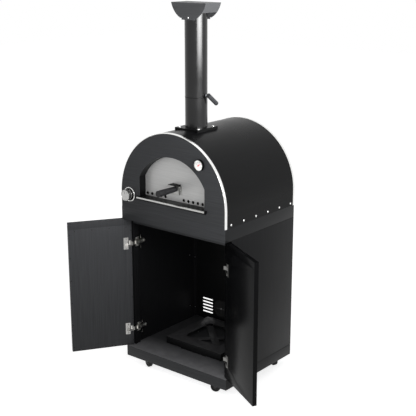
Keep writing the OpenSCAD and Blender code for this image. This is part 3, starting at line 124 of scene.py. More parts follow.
def seen_directly(nodes, links):
    """A factor of 1 for rays from the camera, in mirrors and through glass, and 0 for light on surfaces."""
    path = nodes.new("ShaderNodeLightPath")
    either = nodes.new("ShaderNodeMath")
    either.operation = "MAXIMUM"
    links.new(path.outputs["Is Camera Ray"], either.inputs[0])
    links.new(path.outputs["Is Glossy Ray"], either.inputs[1])
    every = nodes.new("ShaderNodeMath")
    every.operation = "MAXIMUM"
    links.new(either.outputs[0], every.inputs[0])
    links.new(path.outputs["Is Transmission Ray"], every.inputs[1])
    return every.outputs[0]


def surroundings():
    """A world that lights the part softly and is white where it is seen."""
    scene = bpy.context.scene
    scene.view_settings.view_transform = "Standard"
    world = bpy.data.worlds.new("studio")
    scene.world = world
    world.use_nodes = True
    nodes, links = world.node_tree.nodes, world.node_tree.links
    nodes.clear()
    out = nodes.new("ShaderNodeOutputWorld")
    mix = nodes.new("ShaderNodeMixShader")
    links.new(seen_directly(nodes, links), mix.inputs[0])
    for socket, strength in enumerate((WORLD_LIGHT, WORLD_SEEN), 1):
        white = nodes.new("ShaderNodeBackground")
        white.inputs["Color"].default_value = WHITE
        white.inputs["Strength"].default_value = strength
        links.new(white.outputs[0], mix.inputs[socket])
    links.new(mix.outputs[0], out.inputs[0])


def stage():
    """A pale floor that is white where it is seen and keeps the shadow."""
    mesh = bpy.data.meshes.new("floor")
    corners = [(x * STAGE_HALF, y * STAGE_HALF, 0.0) for x, y in ((-1, -1), (1, -1), (1, 1), (-1, 1))]
    mesh.from_pydata(corners, [], [(0, 1, 2, 3)])
    floor = bpy.data.objects.new("floor", mesh)
    bpy.context.scene.collection.objects.link(floor)
    paint = bpy.data.materials.new("floor_paint")
    paint.use_nodes = True
    nodes, links = paint.node_tree.nodes, paint.node_tree.links
    nodes.clear()
    out = nodes.new("ShaderNodeOutputMaterial")
    matt = nodes.new("ShaderNodeBsdfDiffuse")
    matt.inputs["Color"].default_value = (STAGE_GREY, STAGE_GREY, STAGE_GREY, 1.0)
    glow = nodes.new("ShaderNodeEmission")
    glow.inputs["Color"].default_value = (STAGE_GLOW, STAGE_GLOW, STAGE_GLOW, 1.0)
    links.new(seen_directly(nodes, links), glow.inputs["Strength"])
    add = nodes.new("ShaderNodeAddShader")
    links.new(matt.outputs[0], add.inputs[0])
    links.new(glow.outputs[0], add.inputs[1])
    links.new(add.outputs[0], out.inputs[0])
    mesh.materials.append(paint)


def lamps():
    """A key lamp that mirrors leave out, a narrow one for the pipe, and one from above."""
    hung = {name: soft_light(name, **values) for name, values in LAMPS.items()}
    hung["key"].visible_glossy = False
    hung["pipe"].data.spread = math.radians(PIPE_LAMP_SPREAD)


# Materials

FACE_TURN_FROM = 0.7
FACE_TURN_TO = 0.95
# A lighter grey on level faces, and where it fades from the open front as a painted pool of light on the
# cabinet floor
LEVEL_GREY_SHARE = 0.8
PAINTED_LIGHT_FRONT_Y = -0.26
PAINTED_LIGHT_END_Y = -0.1
LEVEL_GREY_BLUE_SHARE = 1.04
COAT_STREAK_SHARE = 0.012
METAL_STREAK_SHARE = 0.01
MATERIALS = {}


def stretched(grain, share):
    """The stretch of noise that makes streaks along one axis."""
    return tuple(share if axis == grain else 1.0 for axis in "xyz")


class Paint:
    """A node material with one main shader, built up step by step and entered in MATERIALS."""

    def __init__(self, name, colour, metallic=0.0, roughness=0.4, specular=0.5):
        material = bpy.data.materials.new(name)
        material.use_nodes = True
        material.diffuse_color = (*colour, 1.0)
        MATERIALS[name] = material
        self.nodes, self.links = material.node_tree.nodes, material.node_tree.links
        self.shader = self.nodes["Principled BSDF"]
        self.colour = colour
        self.set("Base Color", (*colour, 1.0))
        self.set("Metallic", metallic)
        self.set("Roughness", roughness)
        self.set("Specular IOR Level", specular)
        self.place = self.nodes.new("ShaderNodeTexCoord").outputs["Object"]
        self.bump = None

    def set(self, socket, value):
        self.shader.inputs[socket].default_value = value

    def noise(self, scale, stretch=(1.0, 1.0, 1.0), detail=3.0, roughness=0.5):
        """Noise of a given number of cycles per metre, stretched along the axes."""
        mapping = self.nodes.new("ShaderNodeMapping")
        mapping.inputs["Scale"].default_value = stretch
        self.links.new(self.place, mapping.inputs["Vector"])
        tex = self.nodes.new("ShaderNodeTexNoise")
        tex.inputs["Scale"].default_value = scale
        tex.inputs["Detail"].default_value = detail
        tex.inputs["Roughness"].default_value = roughness
        self.links.new(mapping.outputs["Vector"], tex.inputs["Vector"])
        return tex.outputs["Fac"]

    def ramp(self, factor, low, high, start=0.3, end=0.7):
        """A number that goes from low to high as the factor goes from start to end."""
        node = self.nodes.new("ShaderNodeMapRange")
        node.inputs["From Min"].default_value = start
        node.inputs["From Max"].default_value = end
        node.inputs["To Min"].default_value = low
        node.inputs["To Max"].default_value = high
        self.links.new(factor, node.inputs["Value"])
        return node.outputs["Result"]

    def tint(self, factor, dark, light, start=0.3, end=0.7):
        """The main colour, made darker and lighter by a factor."""
        node = self.nodes.new("ShaderNodeValToRGB")
        node.color_ramp.elements[0].position = start
        node.color_ramp.elements[0].color = (*[c * dark for c in self.colour], 1.0)
        node.color_ramp.elements[1].position = end
        node.color_ramp.elements[1].color = (*[min(1.0, c * light) for c in self.colour], 1.0)
        self.links.new(factor, node.inputs["Fac"])
        self.links.new(node.outputs["Color"], self.shader.inputs["Base Color"])

    def normal(self, axis):
        """How far a face looks along an axis, from -1 to 1."""
        split = self.nodes.new("ShaderNodeSeparateXYZ")
        self.links.new(self.nodes.new("ShaderNodeNewGeometry").outputs["Normal"], split.inputs[0])
        return split.outputs[axis]

    def times(self, one, other):
        """The product of two factors."""
        node = self.nodes.new("ShaderNodeMath")
        node.operation = "MULTIPLY"
        self.links.new(one, node.inputs[0])
        self.links.new(other, node.inputs[1])
        return node.outputs[0]

    def overlay(self, factor, colour):
        """Another colour over the main one, by a factor."""
        mix = self.nodes.new("ShaderNodeMixRGB")
        self.links.new(factor, mix.inputs["Fac"])
        self.links.new(self.shader.inputs["Base Color"].links[0].from_socket, mix.inputs["Color1"])
        mix.inputs["Color2"].default_value = (*colour, 1.0)
        self.links.new(mix.outputs["Color"], self.shader.inputs["Base Color"])

    def lighten_level_faces(self, brightness, front=False):
        """A lighter grey of a given brightness on the faces that look up, or only on those near the open
        front, where it is a painted pool of light.
        """
        level = self.ramp(self.normal("Z"), 0.0, LEVEL_GREY_SHARE, FACE_TURN_FROM, FACE_TURN_TO)
        level_grey = self.times(level, self.ramp(self.noise(24.0, detail=6.0), 0.8, 1.2))
        # Kept to the open front, the lighter grey is a painted pool of light
        if front:
            split = self.nodes.new("ShaderNodeSeparateXYZ")
            self.links.new(self.place, split.inputs[0])
            level_grey = self.times(level_grey, self.ramp(split.outputs["Y"], 1.0, 0.0, PAINTED_LIGHT_FRONT_Y, PAINTED_LIGHT_END_Y))
        self.overlay(level_grey, (brightness, brightness, brightness * LEVEL_GREY_BLUE_SHARE))

    def paint_side_shade(self, share):
        """Painted shade: a darker coat on the faces that look left or right."""
        across = self.nodes.new("ShaderNodeMath")
        across.operation = "ABSOLUTE"
        self.links.new(self.normal("X"), across.inputs[0])
        shaded_sides = self.ramp(across.outputs[0], 0.0, 1.0, FACE_TURN_FROM, FACE_TURN_TO)
        self.overlay(shaded_sides, [c * share for c in self.colour])

    def vary_roughness(self, factor, low, high):
        self.links.new(self.ramp(factor, low, high), self.shader.inputs["Roughness"])

    def relief(self, height, depth, strength=1.0):
        """A bump of a given depth in metres, on top of earlier ones."""
        node = self.nodes.new("ShaderNodeBump")
        node.inputs["Strength"].default_value = strength
        node.inputs["Distance"].default_value = depth
        self.links.new(height, node.inputs["Height"])
        if self.bump:
            self.links.new(self.bump, node.inputs["Normal"])
        self.bump = node.outputs["Normal"]
        self.links.new(self.bump, self.shader.inputs["Normal"])


def coat(name, colour, grain, roughness=0.36, specular=0.1, level_grey=0.0, sides=1.0, front=False):
    """Dark powder coat with fine streaks along the grain and a soft orange peel.

    It can have a lighter grey on its level faces, a painted pool of light where it is kept to the open
    front, and painted shade on the faces to the left and right.
    """
    paint = Paint(name, colour, roughness=roughness, specular=specular)
    streaks = paint.noise(420.0, stretched(grain, COAT_STREAK_SHARE), detail=4.0)
    paint.tint(streaks, dark=0.82, light=1.22)
    smudges = paint.noise(5.0, detail=4.0)
    paint.vary_roughness(smudges, roughness - 0.05, roughness + 0.06)
    paint.relief(streaks, depth=0.00004, strength=0.5)
    paint.relief(paint.noise(900.0, detail=2.0), depth=0.00005, strength=0.5)
    if level_grey:
        paint.lighten_level_faces(level_grey, front)
    if sides < 1.0:
        paint.paint_side_shade(sides)


def brushed(name, colour, grain, roughness=0.32, metallic=1.0):
    """Bare brushed metal with its grain along one axis."""
    paint = Paint(name, colour, metallic=metallic, roughness=roughness)
    streaks = paint.noise(700.0, stretched(grain, METAL_STREAK_SHARE), detail=5.0, roughness=0.6)
    paint.tint(streaks, dark=0.86, light=1.12)
    paint.vary_roughness(streaks, roughness - 0.06, roughness + 0.08)
    paint.relief(streaks, depth=0.00003, strength=0.6)


def gloss(name, colour, roughness=0.14, specular=0.5):
    """Smooth enamel with faint clouds and ripples."""
    paint = Paint(name, colour, roughness=roughness, specular=specular)
    cloud = paint.noise(9.0, detail=5.0)
    paint.tint(cloud, dark=0.85, light=1.2)
    paint.vary_roughness(cloud, roughness - 0.03, roughness + 0.05)
    paint.relief(paint.noise(60.0, detail=2.0), depth=0.00003, strength=0.4)


def polished(name, colour, roughness=0.18):
    """Plated or polished metal with small wear marks."""
    paint = Paint(name, colour, metallic=1.0, roughness=roughness)
    marks = paint.noise(260.0, (1.0, 1.0, 0.3), detail=4.0)
    paint.tint(marks, dark=0.9, light=1.08)
    paint.vary_roughness(marks, roughness - 0.05, roughness + 0.1)
    paint.relief(marks, depth=0.00003, strength=0.4)


def moulded(name, colour, roughness=0.55, specular=0.4):
    """Plastic or rubber with a fine texture."""
    paint = Paint(name, colour, roughness=roughness, specular=specular)
    grain = paint.noise(1400.0, detail=2.0)
    paint.tint(paint.noise(30.0, detail=3.0), dark=0.85, light=1.25)
    paint.vary_roughness(grain, roughness - 0.06, roughness + 0.06)
    paint.relief(grain, depth=0.00008, strength=0.6)


def mineral(name, colour, scale, depth):
    """Stone or fibre: grains, pits and blotches."""
    paint = Paint(name, colour, roughness=0.9, specular=0.2)
    paint.tint(paint.noise(scale, detail=8.0, roughness=0.7), dark=0.75, light=1.2)
    paint.relief(paint.noise(scale * 4.0, detail=6.0), depth=depth, strength=0.8)


def clear(name):
    """Thin clear glass with a faint film of dust."""
    paint = Paint(name, (1.0, 1.0, 1.0), roughness=0.03)
    paint.set("Transmission Weight", 1.0)
    paint.set("IOR", 1.2)
    paint.vary_roughness(paint.noise(40.0, detail=4.0), 0.01, 0.06)


COAT_GREY = (0.031, 0.032, 0.0341)


def mix_materials():
    """Every material of the object, by its own name."""
    coat("coat_front", COAT_GREY, "x")
    # The header's darker left and right faces are painted shade
    coat("coat_header", COAT_GREY, "x", sides=0.35)
    # The side coat and the shell coat are darker copies of the front coat: painted shade
    coat("coat_side_shaded", (0.0078, 0.008, 0.0087), "z", 0.34, 0.07)
    coat("coat_shell_shaded", (0.003, 0.0031, 0.0033), "y", 0.3, 0.08)
    coat("coat_cap", (0.05, 0.051, 0.0535), "x", 0.4, 0.2)
    coat("coat_inside", (0.004, 0.0041, 0.0043), "z", 0.4, 0.2)
    coat("coat_door", COAT_GREY, "z", specular=0.12)
    coat("coat_door_inner", (0.036, 0.0371, 0.0396), "z", specular=0.12)
    # The right door's coat is a darker copy of the door coat: painted shade
    coat("coat_door_right_shaded", (0.003, 0.0031, 0.0034), "z", 0.2, 0.05)
    # The floor's lighter grey near the open front is a painted pool of light, and its darker left and right
    # faces are painted shade
    coat("coat_floor", (0.04, 0.0411, 0.0432), "x", level_grey=0.2, sides=0.3, front=True)
    coat("coat_tray", (0.006, 0.0062, 0.0066), "x", level_grey=0.055)
    brushed("stainless", (0.5, 0.5, 0.49), "x")
    brushed("door_steel", (0.42, 0.42, 0.416), "x", 0.4, metallic=0.5)
    polished("bracket_steel", (0.36, 0.36, 0.35), 0.3)
    polished("bar_steel", (0.52, 0.52, 0.51), 0.25)
    polished("ring_steel", (0.66, 0.66, 0.65), 0.22)
    brushed("liner_steel", (0.2, 0.17, 0.14), "y", 0.4)
    polished("stainless_bright", (0.86, 0.86, 0.85))
    # The nickel of the left hinge arms is a lighter copy, as painted light, and that of the right hinges a
    # darker copy, as painted shade
    polished("nickel", (0.38, 0.376, 0.364), 0.3)
    polished("arm_nickel_lit", (0.74, 0.73, 0.7), 0.34)
    polished("nickel_shaded", (0.2, 0.198, 0.19), 0.36)
    polished("zinc", (0.45, 0.46, 0.48), 0.38)
    brushed("knob_metal", (0.46, 0.46, 0.45), "x", 0.28)
    polished("gas_brass", (0.66, 0.48, 0.22), 0.3)
    gloss("gloss_black", (0.008, 0.008, 0.009), 0.16, 0.35)
    gloss("pipe_enamel", (0.004, 0.004, 0.0042), 0.2, 0.36)
    moulded("plastic_black", (0.01, 0.01, 0.011), specular=0.3)
    moulded("rubber_black", (0.012, 0.012, 0.012), 0.7, 0.3)
    moulded("dial_white", (0.8, 0.8, 0.78), 0.4, 0.3)
    gloss("needle_red", (0.8, 0.02, 0.015), 0.35, 0.2)
    polished("trim_bright", (0.88, 0.88, 0.87), 0.22)
    gloss("knob_dark", (0.05, 0.05, 0.052), 0.3)
    moulded("bezel_black", (0.005, 0.005, 0.0055), 0.4, 0.12)
    moulded("print_grey", (0.3, 0.3, 0.3), 0.5)
    moulded("print_black", (0.02, 0.02, 0.02), 0.5)
    gloss("seam_black", (0.002, 0.002, 0.002), 0.5, 0.1)
    clear("lens")
    mineral("stone", (0.55, 0.42, 0.28), 160.0, 0.0006)
    mineral("fibre", (0.75, 0.72, 0.66), 240.0, 0.001)


NODE_MATERIALS = {
    "base_pan": "coat_floor",
    "castor_channels": "zinc",
    "left_side_panel": "coat_side_shaded",
    "right_side_panel": "coat_side_shaded",
    "back_panel": "coat_inside",
    "top_rail": "coat_front",
    "hose_grommet": "rubber_black",
    "tank_tray": "coat_tray",
    "tray_straps": "coat_tray",
    "magnet_catches": "plastic_black",
    "header_frame": "coat_header",
    "left_door_outer": "coat_door",
    "left_door_inner": "coat_door_inner",
    "right_door_outer": "coat_door_right_shaded",
    "right_door_inner": "coat_door_right_shaded",
    "left_hinge_arms": "arm_nickel_lit",
    "right_hinge_arms": "nickel_shaded",
    "left_hinge_cups": "nickel",
    "right_hinge_cups": "nickel_shaded",
    "castor_plates": "zinc",
    "oven_shell": "coat_shell_shaded",
    "oven_face": "coat_front",
    "oven_back": "coat_side_shaded",
    "front_trim": "stainless_bright",
    "rear_trim": "stainless_bright",
    "mouth_tunnel": "coat_shell_shaded",
    "chamber_liner": "liner_steel",
    "insulation": "fibre",
    "baking_stone": "stone",
    "burner_tube": "stainless",
    "gas_valve": "gas_brass",
    "gas_pipe": "gas_brass",
    "sill_shelf": "coat_shell_shaded",
    "sill_bar": "bar_steel",
    "oven_door_plate": "door_steel",
    "grip_bracket": "bracket_steel",
    "oven_door_grip": "plastic_black",
    "grip_shield": "seam_black",
    "thermometer_case": "seam_black",
    "thermometer_dial": "dial_white",
    "thermometer_needle": "needle_red",
    "valve_stem": "stainless_bright",
    "gas_knob": "knob_metal",
    "knob_bezel": "stainless_bright",
    "side_screws": "stainless_bright",
    "flue_base": "coat_shell_shaded",
    "flue_bolts": "stainless_bright",
    "lower_flue_pipe": "pipe_enamel",
    "upper_flue_pipe": "pipe_enamel",
    "damper_flap": "zinc",
    "damper_handle": "coat_front",
    "chimney_cap": "coat_cap",
}
for castor in CASTORS:
    NODE_MATERIALS["fork_" + castor] = "gloss_black"
    NODE_MATERIALS["wheel_" + castor] = "rubber_black"


def dress_nodes():
    """Gives every node of the model its material."""
    for name, obj in frame["nodes"].items():
        obj.data.materials.clear()
        obj.data.materials.append(MATERIALS[NODE_MATERIALS[name]])


# Mesh building

MERGED_WITHIN = 0.00001
FLAT_ANGLE = 1.0
SOFT_ANGLE = 30.0
CREASE_ANGLE = 32.0
FOLD_ROUND = 0.0006
FOLD_ROUNDS = {
    "base_pan": 0.0008,
    "top_rail": 0.0005,
    "left_side_panel": 0.0005,
    "right_side_panel": 0.0005,
    "left_door_inner": 0.0004,
    "right_door_inner": 0.0004,
    "grip_shield": 0.0005,
}


def facing(at, axis=(0.0, 0.0, 1.0)):
    """A frame at a point whose Z looks along an axis."""
    turn = Vector(axis).to_track_quat("Z", "Y").to_matrix().to_4x4()
    return Matrix.Translation(Vector(at)) @ turn


def turned(bm, profile, place, segments, closed=False):
    """A turned form: the profile is a list of (radius, height) along the frame's Z."""
    rings = []
    for radius, height in profile:
        count = 1 if radius == 0.0 else segments
        ring = []
        for i in range(count):
            angle = 2 * math.pi * i / segments
            point = Vector((radius * math.cos(angle), radius * math.sin(angle), height))
            ring.append(bm.verts.new(place @ point))
        rings.append(ring)
    pairs = list(zip(rings, rings[1:]))
    if closed:
        pairs.append((rings[-1], rings[0]))
    for low, high in pairs:
        for i in range(segments):
            j = (i + 1) % segments
            corners = []
            for ring, k in ((low, i), (low, j), (high, j), (high, i)):
                vert = ring[k % len(ring)]
                if vert not in corners:
                    corners.append(vert)
            if len(corners) > 2:
                bm.faces.new(corners)


def prism(bm, outline, low, high, place):
    """An outline of (x, y) points in the frame, extruded from low to high along its Z."""
    bottom = [bm.verts.new(place @ Vector((x, y, low))) for x, y in outline]
    top = [bm.verts.new(place @ Vector((x, y, high))) for x, y in outline]
    bm.faces.new(list(reversed(bottom)))
    bm.faces.new(top)
    for i in range(len(outline)):
        j = (i + 1) % len(outline)
        bm.faces.new((bottom[i], bottom[j], top[j], top[i]))


def swept(bm, path, section):
    """A section of (out, side) points carried along a path in a plane across Y."""
    side = Vector((0.0, 1.0, 0.0))
    rings = []
    for i, point in enumerate(path):
        before = path[max(i - 1, 0)]
        after = path[min(i + 1, len(path) - 1)]
        along = (Vector(after) - Vector(before)).normalized()
        out = along.cross(side).normalized()
        rings.append([bm.verts.new(Vector(point) + out * u + side * v) for u, v in section])
    for low, high in zip(rings, rings[1:]):
        for i in range(len(section)):
            j = (i + 1) % len(section)
            bm.faces.new((low[i], low[j], high[j], high[i]))
    bm.faces.new(list(reversed(rings[0])))
    bm.faces.new(rings[-1])


def rounded(width, height, radius, steps=6):
    """The outline of a rectangle with round corners, centred."""
    points = []
    for k, (sx, sy) in enumerate(((1, 1), (-1, 1), (-1, -1), (1, -1))):
        for i in range(steps + 1):
            angle = math.pi / 2 * (k + i / steps)
            points.append((
                sx * (width / 2 - radius) + radius * math.cos(angle),
                sy * (height / 2 - radius) + radius * math.sin(angle),
            ))
    return points


def hexagon(radius):
    """The corners of a hexagon."""
    return [(radius * math.cos(k * math.pi / 3), radius * math.sin(k * math.pi / 3)) for k in range(6)]


def lifted(profile, height):
    """A profile moved up along its axis."""
    return [(r, h + height) for r, h in profile]


def soften(bm, width):
    """Rounds every sharp edge."""
    sharp = [e for e in bm.edges if len(e.link_faces) == 2
             and e.calc_face_angle(0.0) > math.radians(SOFT_ANGLE)]
    bmesh.ops.bevel(bm, geom=sharp, offset=width, segments=2, profile=0.6,
                    affect="EDGES", clamp_overlap=True)


def piece(name, bm, material, body, replaces=()):
    """Turns the collected forms into one object that rides on a body."""
    bmesh.ops.recalc_face_normals(bm, faces=bm.faces)
    mesh = bpy.data.meshes.new(name)
    bm.to_mesh(mesh)
    bm.free()
    for polygon in mesh.polygons:
        polygon.use_smooth = True
    mesh.set_sharp_from_angle(angle=math.radians(CREASE_ANGLE))
    mesh.materials.append(MATERIALS[material])
    obj = bpy.data.objects.new(name, mesh)
    bpy.context.scene.collection.objects.link(obj)
    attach(obj, body)
    if replaces:
        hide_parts(*replaces)


def folded(node, body):
    """A sheet node with its folded edges rounded."""
    bm = bmesh.new()
    bm.from_mesh(frame["nodes"][node].data)
    bmesh.ops.remove_doubles(bm, verts=bm.verts, dist=MERGED_WITHIN)
    bmesh.ops.dissolve_limit(bm, angle_limit=math.radians(FLAT_ANGLE), verts=bm.verts, edges=bm.edges)
    soften(bm, FOLD_ROUNDS.get(node, FOLD_ROUND))
    piece(node + "_folded", bm, NODE_MATERIALS[node], body, (node,))


def joint(name):
    """A joint of the part's record."""
    return next(j for j in frame["joints"] if j["name"] == name)


def door_place(side):
    """The frame of a door: X from its hinge edge, Y from its outer face, Z from its lower edge."""
    hinge = joint(side + "_door_hinge")
    pin = Matrix.Translation(Vector(hinge["pos_m"]))
    shut = max(hinge["range_deg"], key=abs)
    turn = pin @ Matrix.Rotation(math.radians(-shut), 4, "Z") @ pin.inverted()
    corner = Vector((-CABINET_W / 2 + DOOR_EDGE, -CABINET_D / 2 + DOOR_SETBACK, DOOR_LOW_Z))
    place = Matrix.Translation(corner)
    if side == "right":
        place = Matrix.Scale(-1.0, 4, (1.0, 0.0, 0.0)) @ place
    return turn @ place


# Screws and rivets

DOME_STEPS = 5
DOME_FOOT_R_SHARE = 0.96
DOME_FOOT_H_SHARE = 0.2
CROSS_L_SHARE = 1.1
CROSS_W_SHARE = 0.26
CROSS_CORNER_SHARE = 0.1
CROSS_LOW_SHARE = 0.5
CROSS_TURN = 0.4
INLAY_PROUD = 0.00005


def dome(radius, height):
    """The profile of a domed head."""
    points = [(radius * DOME_FOOT_R_SHARE, -height * DOME_FOOT_H_SHARE), (radius, 0.0)]
    for i in range(1, DOME_STEPS + 1):
        angle = math.pi / 2 * i / DOME_STEPS
        points.append((radius * math.cos(angle), height * math.sin(angle)))
    points[-1] = (0.0, height)
    return points


def rivets(name, points, axis, radius, height, material, body, place=Matrix()):
    """Domed rivets at points of a frame."""
    bm = bmesh.new()
    for point in points:
        turned(bm, dome(radius, height), place @ facing(point, axis), segments=16)
    piece(name, bm, material, body)


def screws(name, points, axis, radius, height, material, body, place=Matrix()):
    """Pan-head screws with a cross recess drawn as a black cross of painted shade."""
    heads, recesses = bmesh.new(), bmesh.new()
    arm = rounded(radius * CROSS_L_SHARE, radius * CROSS_W_SHARE, radius * CROSS_CORNER_SHARE, 2)
    for point in points:
        at = place @ facing(point, axis)
        turned(heads, dome(radius, height), at, segments=24)
        for turn in (0.0, math.pi / 2):
            spun = at @ Matrix.Rotation(turn + CROSS_TURN, 4, "Z")
            prism(recesses, arm, height * CROSS_LOW_SHARE, height, spun)
    piece(name, heads, material, body)
    piece(name + "_recess", recesses, "gloss_black", body)


# Oven

SHELL_R = 0.325
ARCH_STEPS = 72
TRIM_T = 0.0012
TRIM_LIP = 0.0025
TRIM_OUT = 0.0015
TRIM_WRAP = 0.012
TRIM_ROUND = 0.0004
TRIM_CORNER = 0.001
TRIM_CORNER_SHARE = 0.3
TRIM_SEAM_LIP = 0.0042
TRIM_SEAM_T = 0.0003


def arch_path(radius, y):
    """Up the left leg, over the arch and down the right leg."""
    points = [Vector((-radius, y, HEADER_Z))]
    for i in range(ARCH_STEPS + 1):
        angle = math.pi * (1 - i / ARCH_STEPS)
        points.append(Vector((radius * math.cos(angle), y, ARCH_Z + radius * math.sin(angle))))
    points.append(Vector((radius, y, HEADER_Z)))
    return points


def trims():
    """Bright edging wrapped over both edges of the shell, with a dark seam inside it on the face."""
    under = TRIM_OUT - TRIM_T
    edging = [
        (-TRIM_LIP, 0.0), (-TRIM_LIP, TRIM_T - TRIM_ROUND), (-TRIM_LIP + TRIM_ROUND, TRIM_T),
        (under, TRIM_T), (TRIM_OUT - TRIM_ROUND, TRIM_T - TRIM_CORNER * TRIM_CORNER_SHARE),
        (TRIM_OUT, TRIM_T - TRIM_CORNER), (TRIM_OUT, -TRIM_WRAP), (under, -TRIM_WRAP), (under, 0.0),
    ]
    seam = [(-TRIM_SEAM_LIP, 0.0), (-TRIM_SEAM_LIP, TRIM_SEAM_T), (-TRIM_LIP, TRIM_SEAM_T),
            (-TRIM_LIP, 0.0)]
    for name, y, out in (("front", FACE_Y, -1.0), ("rear", BACK_Y, 1.0)):
        wrap, line = bmesh.new(), bmesh.new()
        swept(wrap, arch_path(SHELL_R, y), [(u, out * v) for u, v in edging])
        piece(name + "_trim_wrap", wrap, "trim_bright", "oven_cart", (name + "_trim",))
        swept(line, arch_path(SHELL_R, y), [(u, out * v) for u, v in seam])
        piece(name + "_trim_seam", line, "seam_black", "oven_cart")


SIDE_SCREW_Z = HEADER_Z + 0.0136
SIDE_SCREW_FIRST = -0.2387
SIDE_SCREW_PITCH = 0.0956
SIDE_SCREW_COUNT = 6
SIDE_HEAD_R = 0.0055
SIDE_HEAD_H = 0.003
SIDE_SHANK_R = 0.0025
SIDE_SHANK_L = 0.012
SIDE_SOCKET_R = 0.0017
SIDE_SOCKET_LOW = 0.0022


def side_screws():
    """Button screws along the legs of the shell, each with its shank and a black hexagon of painted shade
    in its socket.
    """
    heads, sockets = bmesh.new(), bmesh.new()
    profile = [(0.0, -SIDE_SHANK_L), (SIDE_SHANK_R, -SIDE_SHANK_L), (SIDE_SHANK_R, 0.0)]
    profile += dome(SIDE_HEAD_R, SIDE_HEAD_H)[1:]
    for side in (-1.0, 1.0):
        for i in range(SIDE_SCREW_COUNT):
            y = SIDE_SCREW_FIRST + i * SIDE_SCREW_PITCH
            at = facing((side * SHELL_R, y, SIDE_SCREW_Z), (side, 0, 0))
            turned(heads, profile, at, segments=24)
            prism(sockets, hexagon(SIDE_SOCKET_R), SIDE_SOCKET_LOW, SIDE_HEAD_H + INLAY_PROUD, at)
    piece("side_screw_heads", heads, "stainless_bright", "oven_cart", ("side_screws",))
    piece("side_screw_socket_shade", sockets, "gloss_black", "oven_cart")


# Doors

DOOR_RIVET_R = 0.0024
DOOR_RIVET_H = 0.0006
DOOR_RIVET_COLUMNS = (0.0036, 0.312)
DOOR_RIVET_HEIGHTS = (0.0235, 0.1425, 0.2615, 0.3805, 0.4991, 0.6179)
DOOR_RIVET_ROW = (0.028, 0.114, 0.2007, 0.286)
DOOR_RIVET_ROW_HEIGHTS = (0.006, 0.6365)


def door_details(side):
    """Folded door sheets with rounded edges, and the rivets that join them."""
    body, place = side + "_door", door_place(side)
    folded(side + "_door_outer", body)
    folded(side + "_door_inner", body)
    points = [(s, DOOR_T, h) for s in DOOR_RIVET_COLUMNS for h in DOOR_RIVET_HEIGHTS]
    points += [(s, DOOR_T, h) for s in DOOR_RIVET_ROW for h in DOOR_RIVET_ROW_HEIGHTS]
    rivets(side + "_door_rivets", points, (0, 1, 0), DOOR_RIVET_R, DOOR_RIVET_H,
           "seam_black", body, place)


HINGE_HEIGHTS = (0.2025, 0.662)
HINGE_SCREW_R = 0.0042
HINGE_SCREW_H = 0.0022
ARM_SCREW_R = 0.0038
CUP_PLATE_EDGE = 0.0185
CUP_PLATE_W = 0.0215
CUP_PLATE_T = 0.0015
CUP_SCREW_Z = 0.0225
CUP_RIDGE = {"width": 0.016, "height": 0.003, "radius": 0.0014, "steps": 4}
CUP_RIDGE_Z = 0.0155
CUP_RIDGE_LOW = -0.0002
CUP_RIDGE_HIGH = 0.0009
CUP_HUB_S = 0.033
CUP_HUB_DEPTH = 0.0175
CUP_HUB = [(0.0, 0.0005), (0.0075, 0.0005), (0.0065, 0.003), (0.0, 0.0036)]


def cup_details(side, metal):
    """Screws, ridges and hubs on the cup plates of a door."""
    body, place = side + "_door", door_place(side)
    middle, top = CUP_PLATE_EDGE + CUP_PLATE_W / 2, DOOR_T + CUP_PLATE_T
    points, ridges = [], bmesh.new()
    for z in HINGE_HEIGHTS:
        height = z - DOOR_LOW_Z
        for end in (-1, 1):
            points.append((middle, top, height + end * CUP_SCREW_Z))
            ridge = place @ facing((middle, top, height + end * CUP_RIDGE_Z), (0, 1, 0))
            prism(ridges, rounded(**CUP_RIDGE), CUP_RIDGE_LOW, CUP_RIDGE_HIGH, ridge)
        hub = place @ facing((CUP_HUB_S, DOOR_T - CUP_HUB_DEPTH, height), (0, 1, 0))
        turned(ridges, CUP_HUB, hub, segments=28)
    screws(side + "_cup_screws", points, (0, 1, 0), HINGE_SCREW_R, HINGE_SCREW_H,
           metal, body, place)
    piece(side + "_cup_ridges", ridges, metal, body)


POST_INSET = 0.027
WING_T = 0.0025
WING_SCREW_Y = -0.2095
WING_SCREW_Z = 0.0175
ARM_RISE = 0.009
ARM_SCREW_SINK = 0.001
ARM_SCREW_Y = (-0.2028, -0.183)
ARM_STRIP = {"width": 0.0016, "height": 0.058, "radius": 0.0006, "steps": 3}
ARM_STRIP_Y = -0.1945
ARM_STRIP_Z = 0.0082
ARM_STRIP_LOW = -0.0004
ARM_STRIP_HIGH = 0.0012
ARM_TAIL_Y = -0.1675
ARM_TAIL_SINK = 0.004
ARM_TAIL = [(0.0, -0.002), (0.0062, -0.002), (0.0062, 0.0042), (0.005, 0.0054), (0.0, 0.0058)]


